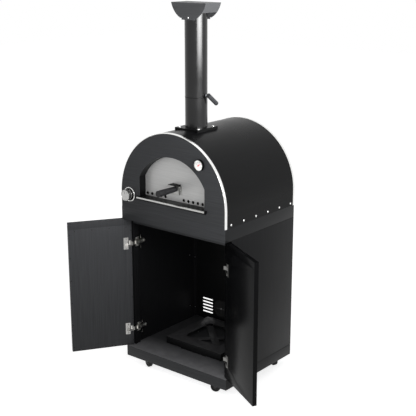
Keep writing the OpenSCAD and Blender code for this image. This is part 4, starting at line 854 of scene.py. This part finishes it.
def arm_details(side, metal):
    """Screws, two upright strips and a round tail on the hinge arms of a post."""
    sign = -1.0 if side == "left" else 1.0
    inward = (-sign, 0.0, 0.0)
    wing_x = sign * (CABINET_W / 2 - POST_INSET - WING_T)
    arm_x = wing_x - sign * ARM_RISE
    wing_points, arm_points, strips = [], [], bmesh.new()
    for z in HINGE_HEIGHTS:
        for y in ARM_SCREW_Y:
            arm_points.append((arm_x + sign * ARM_SCREW_SINK, y, z))
        for end in (-1, 1):
            wing_points.append((wing_x, WING_SCREW_Y, z + end * WING_SCREW_Z))
            strip = facing((arm_x, ARM_STRIP_Y, z + end * ARM_STRIP_Z), inward)
            prism(strips, rounded(**ARM_STRIP), ARM_STRIP_LOW, ARM_STRIP_HIGH, strip)
        tail = facing((arm_x + sign * ARM_TAIL_SINK, ARM_TAIL_Y, z), inward)
        turned(strips, ARM_TAIL, tail, segments=24)
    screws(side + "_wing_screws", wing_points, inward, HINGE_SCREW_R, HINGE_SCREW_H,
           metal, "oven_cart")
    screws(side + "_arm_screws", arm_points, inward, ARM_SCREW_R, HINGE_SCREW_H, metal, "oven_cart")
    piece(side + "_arm_rails", strips, metal, "oven_cart")


# Cabinet

CABINET_RIVET_R = 0.0025
CABINET_RIVET_H = 0.0012
WALL_RIVET_X = 0.3235
WALL_RIVET_Y = 0.2325
WALL_RIVETS = (0.172, 0.4677)
FLANGE_RIVET_X = 0.3165
FLANGE_RIVET_Y = 0.268
FLANGE_RIVETS = (0.1565, 0.4493)
PANEL_SEAM = {"width": 0.536, "height": 0.0026, "radius": 0.0006, "steps": 2}
PANEL_SEAM_Y = -0.0015
PANEL_SEAM_PROUD = 0.0002
FLOOR_SCREW_X = 0.15
FLOOR_SCREW_Y = (-0.04, 0.098)
FLOOR_SCREW_R = 0.004
FLOOR_SCREW_H = 0.002


def cabinet_details():
    """Sheet parts with rounded folds, the rivets and screws of the cabinet, and seams on its sides."""
    for sheet in ("base_pan", "header_frame", "top_rail", "tank_tray", "tray_straps"):
        folded(sheet, "oven_cart")
    seams = bmesh.new()
    for side, sign in (("left", -1.0), ("right", 1.0)):
        folded(side + "_side_panel", "oven_cart")
        wall = [(sign * WALL_RIVET_X, WALL_RIVET_Y, z) for z in WALL_RIVETS]
        rivets(side + "_wall_rivets", wall, (-sign, 0, 0), CABINET_RIVET_R, CABINET_RIVET_H,
               "zinc", "oven_cart")
        flange = [(sign * FLANGE_RIVET_X, FLANGE_RIVET_Y, z) for z in FLANGE_RIVETS]
        rivets(side + "_flange_rivets", flange, (0, -1, 0), CABINET_RIVET_R, CABINET_RIVET_H,
               "zinc", "oven_cart")
        for z in (FLOOR_Z, PANEL_TOP_Z):
            edge = facing((sign * CABINET_W / 2, PANEL_SEAM_Y, z), (sign, 0.0, 0.0))
            prism(seams, rounded(**PANEL_SEAM), -PANEL_SEAM_PROUD, PANEL_SEAM_PROUD, edge)
    piece("panel_seams", seams, "seam_black", "oven_cart")
    floor = [(x, y, FLOOR_Z) for x in (-FLOOR_SCREW_X, FLOOR_SCREW_X) for y in FLOOR_SCREW_Y]
    screws("floor_screws", floor, (0, 0, 1), FLOOR_SCREW_R, FLOOR_SCREW_H,
           "stainless_bright", "oven_cart")


# Front of the oven

KNOB_X = -0.271
KNOB_Z = HEADER_Z + 0.069
KNOB_R = 0.0278
KNOB_BACK = FACE_Y - 0.009
KNOB_L = 0.026
KNOB_NECK_R = 0.0255
KNOB_NECK_L = 0.0045
KNOB_SHOULDER = 0.0062
KNOB_CHAMFER = [(0.0, 0.0042), (0.0006, 0.0024), (0.0034, 0.0002)]
KNOB_RING_OUT = 0.0042
KNOB_RING_IN = 0.0066
KNOB_RING_STEP = 0.0008
KNOB_FACE_SINK = 0.0012
KNOB_SEGMENTS = 144
SCALLOPS = 24
SCALLOP_DEPTH = 0.0007
SCALLOP_FROM = 0.006
SCALLOP_TO = KNOB_L - 0.003
SCALLOP_R = KNOB_R - 0.001
NOTCH = {"width": 0.003, "height": 0.0048, "radius": 0.0008, "steps": 3}
NOTCH_R = KNOB_R - 0.0052
NOTCH_DEPTH = 0.0008
NOTCH_PROUD = 0.0001
POINTER = {"width": 0.0016, "height": 0.0125, "radius": 0.0007, "steps": 3}
POINTER_R = 0.0135
POINTER_LOW = KNOB_L - 0.0014
POINTER_HIGH = KNOB_L - 0.0009


def scallop(bm, place):
    """Presses shallow scallops into the outer wall of the knob."""
    back = place.inverted()
    for vert in bm.verts:
        local = back @ vert.co
        radius = math.hypot(local.x, local.y)
        if radius > SCALLOP_R and SCALLOP_FROM < local.z < SCALLOP_TO:
            dip = SCALLOP_DEPTH * (0.5 - 0.5 * math.cos(SCALLOPS * math.atan2(local.y, local.x)))
            local.x *= 1 - dip / radius
            local.y *= 1 - dip / radius
            vert.co = place @ local


def gas_knob():
    """A cast knob with shallow scallops, a chamfer and a ring broken by four notches on its front."""
    place = facing((KNOB_X, KNOB_BACK, KNOB_Z), (0, -1, 0))
    ring_in, face = KNOB_R - KNOB_RING_IN, KNOB_L - KNOB_FACE_SINK
    profile = [(0.0, 0.0), (KNOB_NECK_R, 0.0), (KNOB_NECK_R, KNOB_NECK_L), (KNOB_R, KNOB_SHOULDER)]
    profile += [(KNOB_R - inset, KNOB_L - sink) for inset, sink in KNOB_CHAMFER]
    profile += [(KNOB_R - KNOB_RING_OUT, KNOB_L), (ring_in, KNOB_L)]
    profile += [(ring_in - KNOB_RING_STEP, face), (0.0, face)]
    cast, notches, pointer = bmesh.new(), bmesh.new(), bmesh.new()
    turned(cast, profile, place, KNOB_SEGMENTS)
    scallop(cast, place)
    piece("gas_knob_cast", cast, "knob_metal", "knob", ("gas_knob",))
    # The notches are dark inlays: painted shade in the slots of the ring
    block = [(x + NOTCH_R, y) for x, y in rounded(**NOTCH)]
    for k in range(4):
        spun = place @ Matrix.Rotation(math.pi / 4 + k * math.pi / 2, 4, "Z")
        prism(notches, block, KNOB_L - NOTCH_DEPTH, KNOB_L + NOTCH_PROUD, spun)
    piece("gas_knob_notch_shade", notches, "knob_dark", "knob")
    bar = [(x, y + POINTER_R) for x, y in rounded(**POINTER)]
    prism(pointer, bar, POINTER_LOW, POINTER_HIGH, place)
    piece("gas_knob_pointer", pointer, "knob_dark", "knob")


BEZEL_R = 0.0362
BEZEL_RING = 0.0055
BEZEL_OUTSIDE = [(0.0, 0.0), (0.0, 0.0022), (0.0012, 0.0036), (0.0028, 0.0041)]
BEZEL_INSIDE = [(0.001, 0.0036), (0.0, 0.0022), (0.0, 0.0)]
BEZEL_BACK = 0.002
BEZEL_LIP = 0.0006
BEZEL_BORE_R = 0.0057
BEZEL_FACE_EDGE = 0.0013
BEZEL_FACE_TOP = 0.0016
BOSS_R = 0.0265
BOSS = [(0.0, 0.001), (0.0032, 0.001), (0.0032, 0.0024), (0.0024, 0.003), (0.0, 0.0032)]
MARK_R = 0.0268
MARK_LOW = 0.0012
MARK_HIGH = 0.0017
OFF_DOT_R = 0.0013
FLAMES = ((-1.05, 0.0034), (-1.8, 0.0026), (1.05, 0.0026))
FLAME_STEPS = 10
FLAME_W_SHARE = 0.55
FLAME_DROP_SHARE = 0.2


def flame(size):
    """The outline of a small flame, point up."""
    points = [(0.0, size)]
    for i in range(FLAME_STEPS + 1):
        angle = math.pi * (0.17 - 1.34 * i / FLAME_STEPS)
        width = size * FLAME_W_SHARE
        points.append((width * math.cos(angle), width * math.sin(angle) - size * FLAME_DROP_SHARE))
    return points


def knob_bezel():
    """A bright ring round a black face with flame marks for low and high, and a dot for off."""
    place = facing((KNOB_X, FACE_Y, KNOB_Z), (0, -1, 0))
    inner = BEZEL_R - BEZEL_RING
    lip = inner + BEZEL_LIP
    ring, face, marks = bmesh.new(), bmesh.new(), bmesh.new()
    profile = [(BEZEL_R - inset, h) for inset, h in BEZEL_OUTSIDE]
    profile += [(inner + outset, h) for outset, h in BEZEL_INSIDE] + [(BEZEL_R - BEZEL_BACK, 0.0)]
    turned(ring, profile, place, segments=96, closed=True)
    piece("bezel_ring", ring, "ring_steel", "oven_cart", ("knob_bezel",))
    turned(face, [(BEZEL_BORE_R, 0.0), (lip, 0.0), (lip, BEZEL_FACE_EDGE), (BEZEL_BORE_R, BEZEL_FACE_TOP)],
           place, segments=96, closed=True)
    for k in range(4):
        spun = place @ Matrix.Rotation(math.pi / 4 + k * math.pi / 2, 4, "Z")
        turned(face, BOSS, spun @ Matrix.Translation((BOSS_R, 0.0, 0.0)), segments=20)
    piece("bezel_face", face, "bezel_black", "oven_cart")
    turned(marks, [(0.0, MARK_LOW), (OFF_DOT_R, MARK_LOW), (OFF_DOT_R, MARK_HIGH), (0.0, MARK_HIGH)],
           place @ Matrix.Translation((0.0, MARK_R, 0.0)), segments=20)
    for turn, size in FLAMES:
        mark = place @ Matrix.Rotation(turn, 4, "Z") @ Matrix.Translation((0.0, MARK_R, 0.0))
        prism(marks, flame(size), MARK_LOW, MARK_HIGH, mark @ Matrix.Rotation(-turn, 4, "Z"))
    piece("bezel_marks", marks, "print_grey", "oven_cart")


GAUGE_X = 0.178
GAUGE_Z = HEADER_Z + 0.280
GAUGE_R = 0.0265
DIAL_Y = FACE_Y - 0.011
SCALE_FROM = 210.0
SCALE_TO = -30.0
SCALE_STEPS = 20
SCALE_UNIT = 25
LONG_EVERY = 4
TICK_END_R = 0.0222
LONG_TICK = (0.0034, 0.0005)
SHORT_TICK = (0.002, 0.00028)
TICK_LOW = -0.0001
TICK_HIGH = 0.00012
NUMBER_R = 0.0158
NUMBER_H = 0.0036
NUMBER_T = 0.00005
RIM = [(0.0, 0.0), (-0.0002, 0.0035), (0.0003, 0.0047), (0.0012, 0.005), (0.0018, 0.0044), (0.0018, 0.0)]
LENS = [(0.0, 0.0034), (0.0242, 0.003), (0.0242, 0.004), (0.016, 0.0044), (0.008, 0.0047), (0.0, 0.0048)]
HUB = [(0.0, 0.0004), (0.0022, 0.0004), (0.0022, 0.0018), (0.0015, 0.0024), (0.0, 0.0026)]
BLADE_TIP_R = 0.017
BLADE_TAIL_R = 0.008
BLADE_TIP_W = 0.0008
BLADE_HUB_W = 0.0028
BLADE_TAIL_W = 0.0024
BLADE_LOW = 0.001
BLADE_HIGH = 0.0015


def scale_angle(step):
    """The direction of a step of the dial's scale."""
    return math.radians(SCALE_FROM + (SCALE_TO - SCALE_FROM) * step / SCALE_STEPS)


def needle_blade(place):
    """A hub and a tapered blade that points the way the solid needle does."""
    back = place.inverted()
    tip = max((back @ vert.co for vert in frame["nodes"]["thermometer_needle"].data.vertices),
              key=lambda point: math.hypot(point.x, point.y))
    half = [(-BLADE_TAIL_R, -BLADE_TAIL_W / 2), (0.0, -BLADE_HUB_W / 2), (BLADE_TIP_R, -BLADE_TIP_W / 2)]
    outline = half + [(x, -y) for x, y in reversed(half)]
    bm = bmesh.new()
    turned(bm, HUB, place, segments=28)
    prism(bm, outline, BLADE_LOW, BLADE_HIGH, place @ Matrix.Rotation(math.atan2(tip.y, tip.x), 4, "Z"))
    piece("needle_blade", bm, "needle_red", "needle")


def thermometer():
    """Ticks and numbers on the dial, a rolled rim, a lens, and the needle's blade."""
    place = facing((GAUGE_X, DIAL_Y, GAUGE_Z), (0, -1, 0))
    ticks, rim, glass = bmesh.new(), bmesh.new(), bmesh.new()
    for i in range(SCALE_STEPS + 1):
        length, width = SHORT_TICK if i % LONG_EVERY else LONG_TICK
        turn = place @ Matrix.Rotation(scale_angle(i), 4, "Z")
        half = [(-length / 2, -width / 2), (length / 2, -width / 2)]
        prism(ticks, half + [(-x, -y) for x, y in half], TICK_LOW, TICK_HIGH,
              turn @ Matrix.Translation((TICK_END_R - length / 2, 0, 0)))
    piece("dial_ticks", ticks, "print_black", "oven_cart")
    for i in range(0, SCALE_STEPS + 1, LONG_EVERY):
        angle, words = scale_angle(i), str(i * SCALE_UNIT)
        at = place @ Vector((NUMBER_R * math.cos(angle), NUMBER_R * math.sin(angle), NUMBER_T))
        number("dial_number_" + words, words, at)
    turned(rim, [(GAUGE_R - inset, h) for inset, h in RIM], place, segments=96, closed=True)
    piece("thermometer_rim", rim, "seam_black", "oven_cart")
    turned(glass, LENS, place, segments=64)
    piece("thermometer_lens", glass, "lens", "oven_cart")
    needle_blade(place)


def number(name, words, at):
    """A number on the dial as a flat mesh."""
    curve = bpy.data.curves.new(name, "FONT")
    curve.body = words
    curve.size = NUMBER_H
    curve.align_x = "CENTER"
    curve.align_y = "CENTER"
    curve.extrude = NUMBER_T
    holder = bpy.data.objects.new(name + "_text", curve)
    bpy.context.scene.collection.objects.link(holder)
    bpy.context.view_layer.update()
    mesh = bpy.data.meshes.new_from_object(holder.evaluated_get(bpy.context.evaluated_depsgraph_get()))
    bpy.data.objects.remove(holder)
    bpy.data.curves.remove(curve)
    mesh.transform(Matrix.Translation(at) @ Matrix.Rotation(math.pi / 2, 4, "X"))
    mesh.materials.clear()
    mesh.materials.append(MATERIALS["print_black"])
    obj = bpy.data.objects.new(name, mesh)
    bpy.context.scene.collection.objects.link(obj)
    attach(obj, "oven_cart")


# Oven door

OVEN_DOOR_Y = FACE_Y + 0.042
SHELF_Z = HEADER_Z + 0.069
AIR_HOLE_Z = SHELF_Z + 0.013
AIR_HOLE_R = 0.0065
AIR_HOLE_PITCH = 0.0288
AIR_HOLES_RIGHT = [0.0432 + i * AIR_HOLE_PITCH for i in range(6)]
AIR_HOLES_LEFT = [-0.072 - i * AIR_HOLE_PITCH for i in range(5)]
EYELET_SINK = 0.0002
EYELET_L = 0.009
EYELET_FLANGE_R = AIR_HOLE_R + 0.0009
EYELET_OUT_R = AIR_HOLE_R - 0.0001
EYELET_IN_R = AIR_HOLE_R - 0.0008
EYELET = [
    (EYELET_FLANGE_R, -0.0006), (EYELET_FLANGE_R, -0.0003), (EYELET_OUT_R, -0.0002),
    (EYELET_OUT_R, EYELET_L), (EYELET_IN_R, EYELET_L), (EYELET_IN_R, -0.0006),
]
BRACKET_SCREW_X = 0.0264
BRACKET_SCREW_DROP = 0.007
BRACKET_SCREW_R = 0.004
BRACKET_SCREW_H = 0.0022
BRACKET_T = 0.002
GRIP_Z = SHELF_Z + 0.064
GRIP_BACK = 0.011
GRIP_L = 0.124
GRIP_FOOT_R = 0.013
GRIP_FOOT_L = 0.0018
GRIP_GAIN = 0.002
GRIP_SWELL = 0.0006
GRIP_BARREL_L = GRIP_L - 0.0048
GRIP_STEPS = 12
GRIP_END = [(0.015, -0.003), (0.0145, -0.0012), (0.0132, -0.0002), (0.012, 0.0),
            (0.0045, 0.0), (0.004, -0.0008), (0.0, -0.0008)]


def oven_door():
    """Eyelets in the air holes, black as painted shade inside the holes, screws on the bracket, and the
    turned grip.
    """
    eyelets, grip = bmesh.new(), bmesh.new()
    for x in AIR_HOLES_RIGHT + AIR_HOLES_LEFT:
        at = facing((x, OVEN_DOOR_Y + EYELET_SINK, AIR_HOLE_Z), (0, 1, 0))
        turned(eyelets, EYELET, at, segments=32, closed=True)
    piece("air_hole_shade_eyelets", eyelets, "seam_black", "oven_door")
    points = [(side * BRACKET_SCREW_X, OVEN_DOOR_Y - BRACKET_T, GRIP_Z - BRACKET_SCREW_DROP)
              for side in (-1, 1)]
    screws("bracket_screws", points, (0, -1, 0), BRACKET_SCREW_R, BRACKET_SCREW_H,
           "bracket_steel", "oven_door")
    profile = [(0.0, 0.0), (GRIP_FOOT_R - GRIP_FOOT_L, 0.0), (GRIP_FOOT_R, GRIP_FOOT_L)]
    for i in range(1, GRIP_STEPS):
        share = i / GRIP_STEPS
        radius = GRIP_FOOT_R + GRIP_GAIN * share + GRIP_SWELL * math.sin(math.pi * share)
        profile.append((radius, GRIP_FOOT_L + GRIP_BARREL_L * share))
    profile += lifted(GRIP_END, GRIP_L)
    turned(grip, profile, facing((0.0, OVEN_DOOR_Y - GRIP_BACK, GRIP_Z), (0, -1, 0)), segments=56)
    piece("oven_door_grip_turned", grip, "plastic_black", "oven_door", ("oven_door_grip",))
    folded("grip_bracket", "oven_door")
    folded("grip_shield", "oven_door")


# Flue

FLUE_BOLT_X = 0.058
FLUE_BOLT_Y = 0.0545
FLUE_BASE_Z = 1.269
BOLT_WASHER_R = 0.0072
BOLT_WASHER_T = 0.0012
BOLT_HEAD_R = 0.0055
BOLT_HEAD_H = 0.0034
BOLT_EASE = 0.0001
BOLT_SOCKET_R = 0.002
BOLT_SOCKET_LOW = 0.0034
CAP_RIVET_Z = 1.781
CAP_RIVET_R = 0.004
CAP_RIVET_H = 0.002
CAP_RIVET_SHANK_R = 0.002
PIPE_BORE_R = 0.0498
CAP_OUT_R = FLUE_R + 0.0023
BEAD_HALF = 0.0014
BEAD_HEIGHT = 0.001
BEAD_SINK = 0.0002
BEAD_SHOULDER = 0.001
BEAD_SHOULDER_SHARE = 0.8
WASHER_X = FLUE_R + 0.0062
WASHER_BORE_R = 0.0033
WASHER_R = 0.0064
WASHER_LOW = -0.0002
WASHER_HIGH = 0.0008


def flue():
    """Bolt heads on the base, a bead at the pipe seam, rivets of the cap and the washers of the damper."""
    heads, sockets, bead, washers = bmesh.new(), bmesh.new(), bmesh.new(), bmesh.new()
    bolt = [(0.0, 0.0), (BOLT_WASHER_R, 0.0), (BOLT_WASHER_R, BOLT_WASHER_T - BOLT_EASE),
            (BOLT_HEAD_R + BOLT_EASE, BOLT_WASHER_T)]
    bolt += lifted(dome(BOLT_HEAD_R, BOLT_HEAD_H)[1:], BOLT_WASHER_T)
    socket_top = BOLT_WASHER_T + BOLT_HEAD_H + INLAY_PROUD
    for sx in (-1, 1):
        for sy in (-1, 1):
            at = facing((sx * FLUE_BOLT_X, FLUE_Y + sy * FLUE_BOLT_Y, FLUE_BASE_Z))
            turned(heads, bolt, at, segments=28)
            # The black hexagon in each bolt head is painted shade in its socket
            prism(sockets, hexagon(BOLT_SOCKET_R), BOLT_SOCKET_LOW, socket_top, at)
    rivet = [
        (0.0, PIPE_BORE_R), (CAP_RIVET_R, PIPE_BORE_R), (CAP_RIVET_R, PIPE_BORE_R + CAP_RIVET_H),
        (CAP_RIVET_SHANK_R, PIPE_BORE_R + CAP_RIVET_H), (CAP_RIVET_SHANK_R, CAP_OUT_R),
    ] + lifted(dome(CAP_RIVET_R, CAP_RIVET_H)[1:], CAP_OUT_R)
    for side in (-1, 1):
        turned(heads, rivet, facing((0.0, FLUE_Y, CAP_RIVET_Z), (0, side, 0)), segments=24)
    piece("flue_bolt_heads", heads, "stainless_bright", "oven_cart", ("flue_bolts",))
    piece("flue_bolt_socket_shade", sockets, "gloss_black", "oven_cart")
    foot, shoulder = FLUE_R - BEAD_SINK, FLUE_R + BEAD_HEIGHT * BEAD_SHOULDER_SHARE
    half = [(foot, -BEAD_HALF), (shoulder, -BEAD_SHOULDER)]
    profile = half + [(FLUE_R + BEAD_HEIGHT, 0.0)] + [(r, -h) for r, h in reversed(half)]
    turned(bead, profile, facing((0, FLUE_Y, PIPE_SEAM_Z)), segments=96, closed=True)
    piece("pipe_seam_bead", bead, "seam_black", "oven_cart")
    washer = [(WASHER_BORE_R, WASHER_LOW), (WASHER_R, WASHER_LOW), (WASHER_R, WASHER_HIGH),
              (WASHER_BORE_R, WASHER_HIGH)]
    for side in (-1, 1):
        at = facing((side * WASHER_X, FLUE_Y, DAMPER_Z), (side, 0, 0))
        turned(washers, washer, at, segments=32, closed=True)
    piece("damper_washers", washers, "zinc", "oven_cart")


# Castors

HUB_CAP = [(0.0056, 0.0), (0.0115, 0.0), (0.0115, 0.0005), (0.0095, 0.001), (0.0056, 0.0012)]
HUB_CAP_OUT = 0.0086
PLATE_NUT_AT = 0.025
PLATE_NUT_Z = 0.069
PLATE_NUT_R = 0.0052
PLATE_NUT_H = 0.004
THREAD_END = [(0.0, 0.003), (0.003, 0.003), (0.003, 0.0055), (0.0025, 0.006), (0.0, 0.006)]


def castor_details():
    """Hub caps on the wheels and plate nuts under the channels."""
    for name in CASTORS:
        caps, nuts = bmesh.new(), bmesh.new()
        roll = joint("castor_roll_" + name)
        at, axis = Vector(roll["pos_m"]), Vector(roll["axis"])
        for side in (-1, 1):
            outside = facing(at + axis * side * HUB_CAP_OUT, axis * side)
            turned(caps, HUB_CAP, outside, segments=32, closed=True)
        piece("hub_caps_" + name, caps, "plastic_black", "roller_" + name)
        swivel = Vector(joint("castor_swivel_" + name)["pos_m"])
        for sx in (-1, 1):
            for sy in (-1, 1):
                under = (swivel.x + sx * PLATE_NUT_AT, swivel.y + sy * PLATE_NUT_AT, PLATE_NUT_Z)
                nut = facing(under, (0, 0, -1))
                prism(nuts, hexagon(PLATE_NUT_R), 0.0, PLATE_NUT_H, nut)
                turned(nuts, THREAD_END, nut, segments=16)
        piece("plate_nuts_" + name, nuts, "zinc", "oven_cart")


camera()
surroundings()
stage()
lamps()
mix_materials()
dress_nodes()
trims()
side_screws()
cabinet_details()
# The right hinges take the shaded copy of the nickel, the left arms the lit copy
for hand, cup_metal, arm_metal in (("left", "nickel", "arm_nickel_lit"), ("right", "nickel_shaded", "nickel_shaded")):
    door_details(hand)
    cup_details(hand, cup_metal)
    arm_details(hand, arm_metal)
gas_knob()
knob_bezel()
thermometer()
oven_door()
flue()
castor_details()
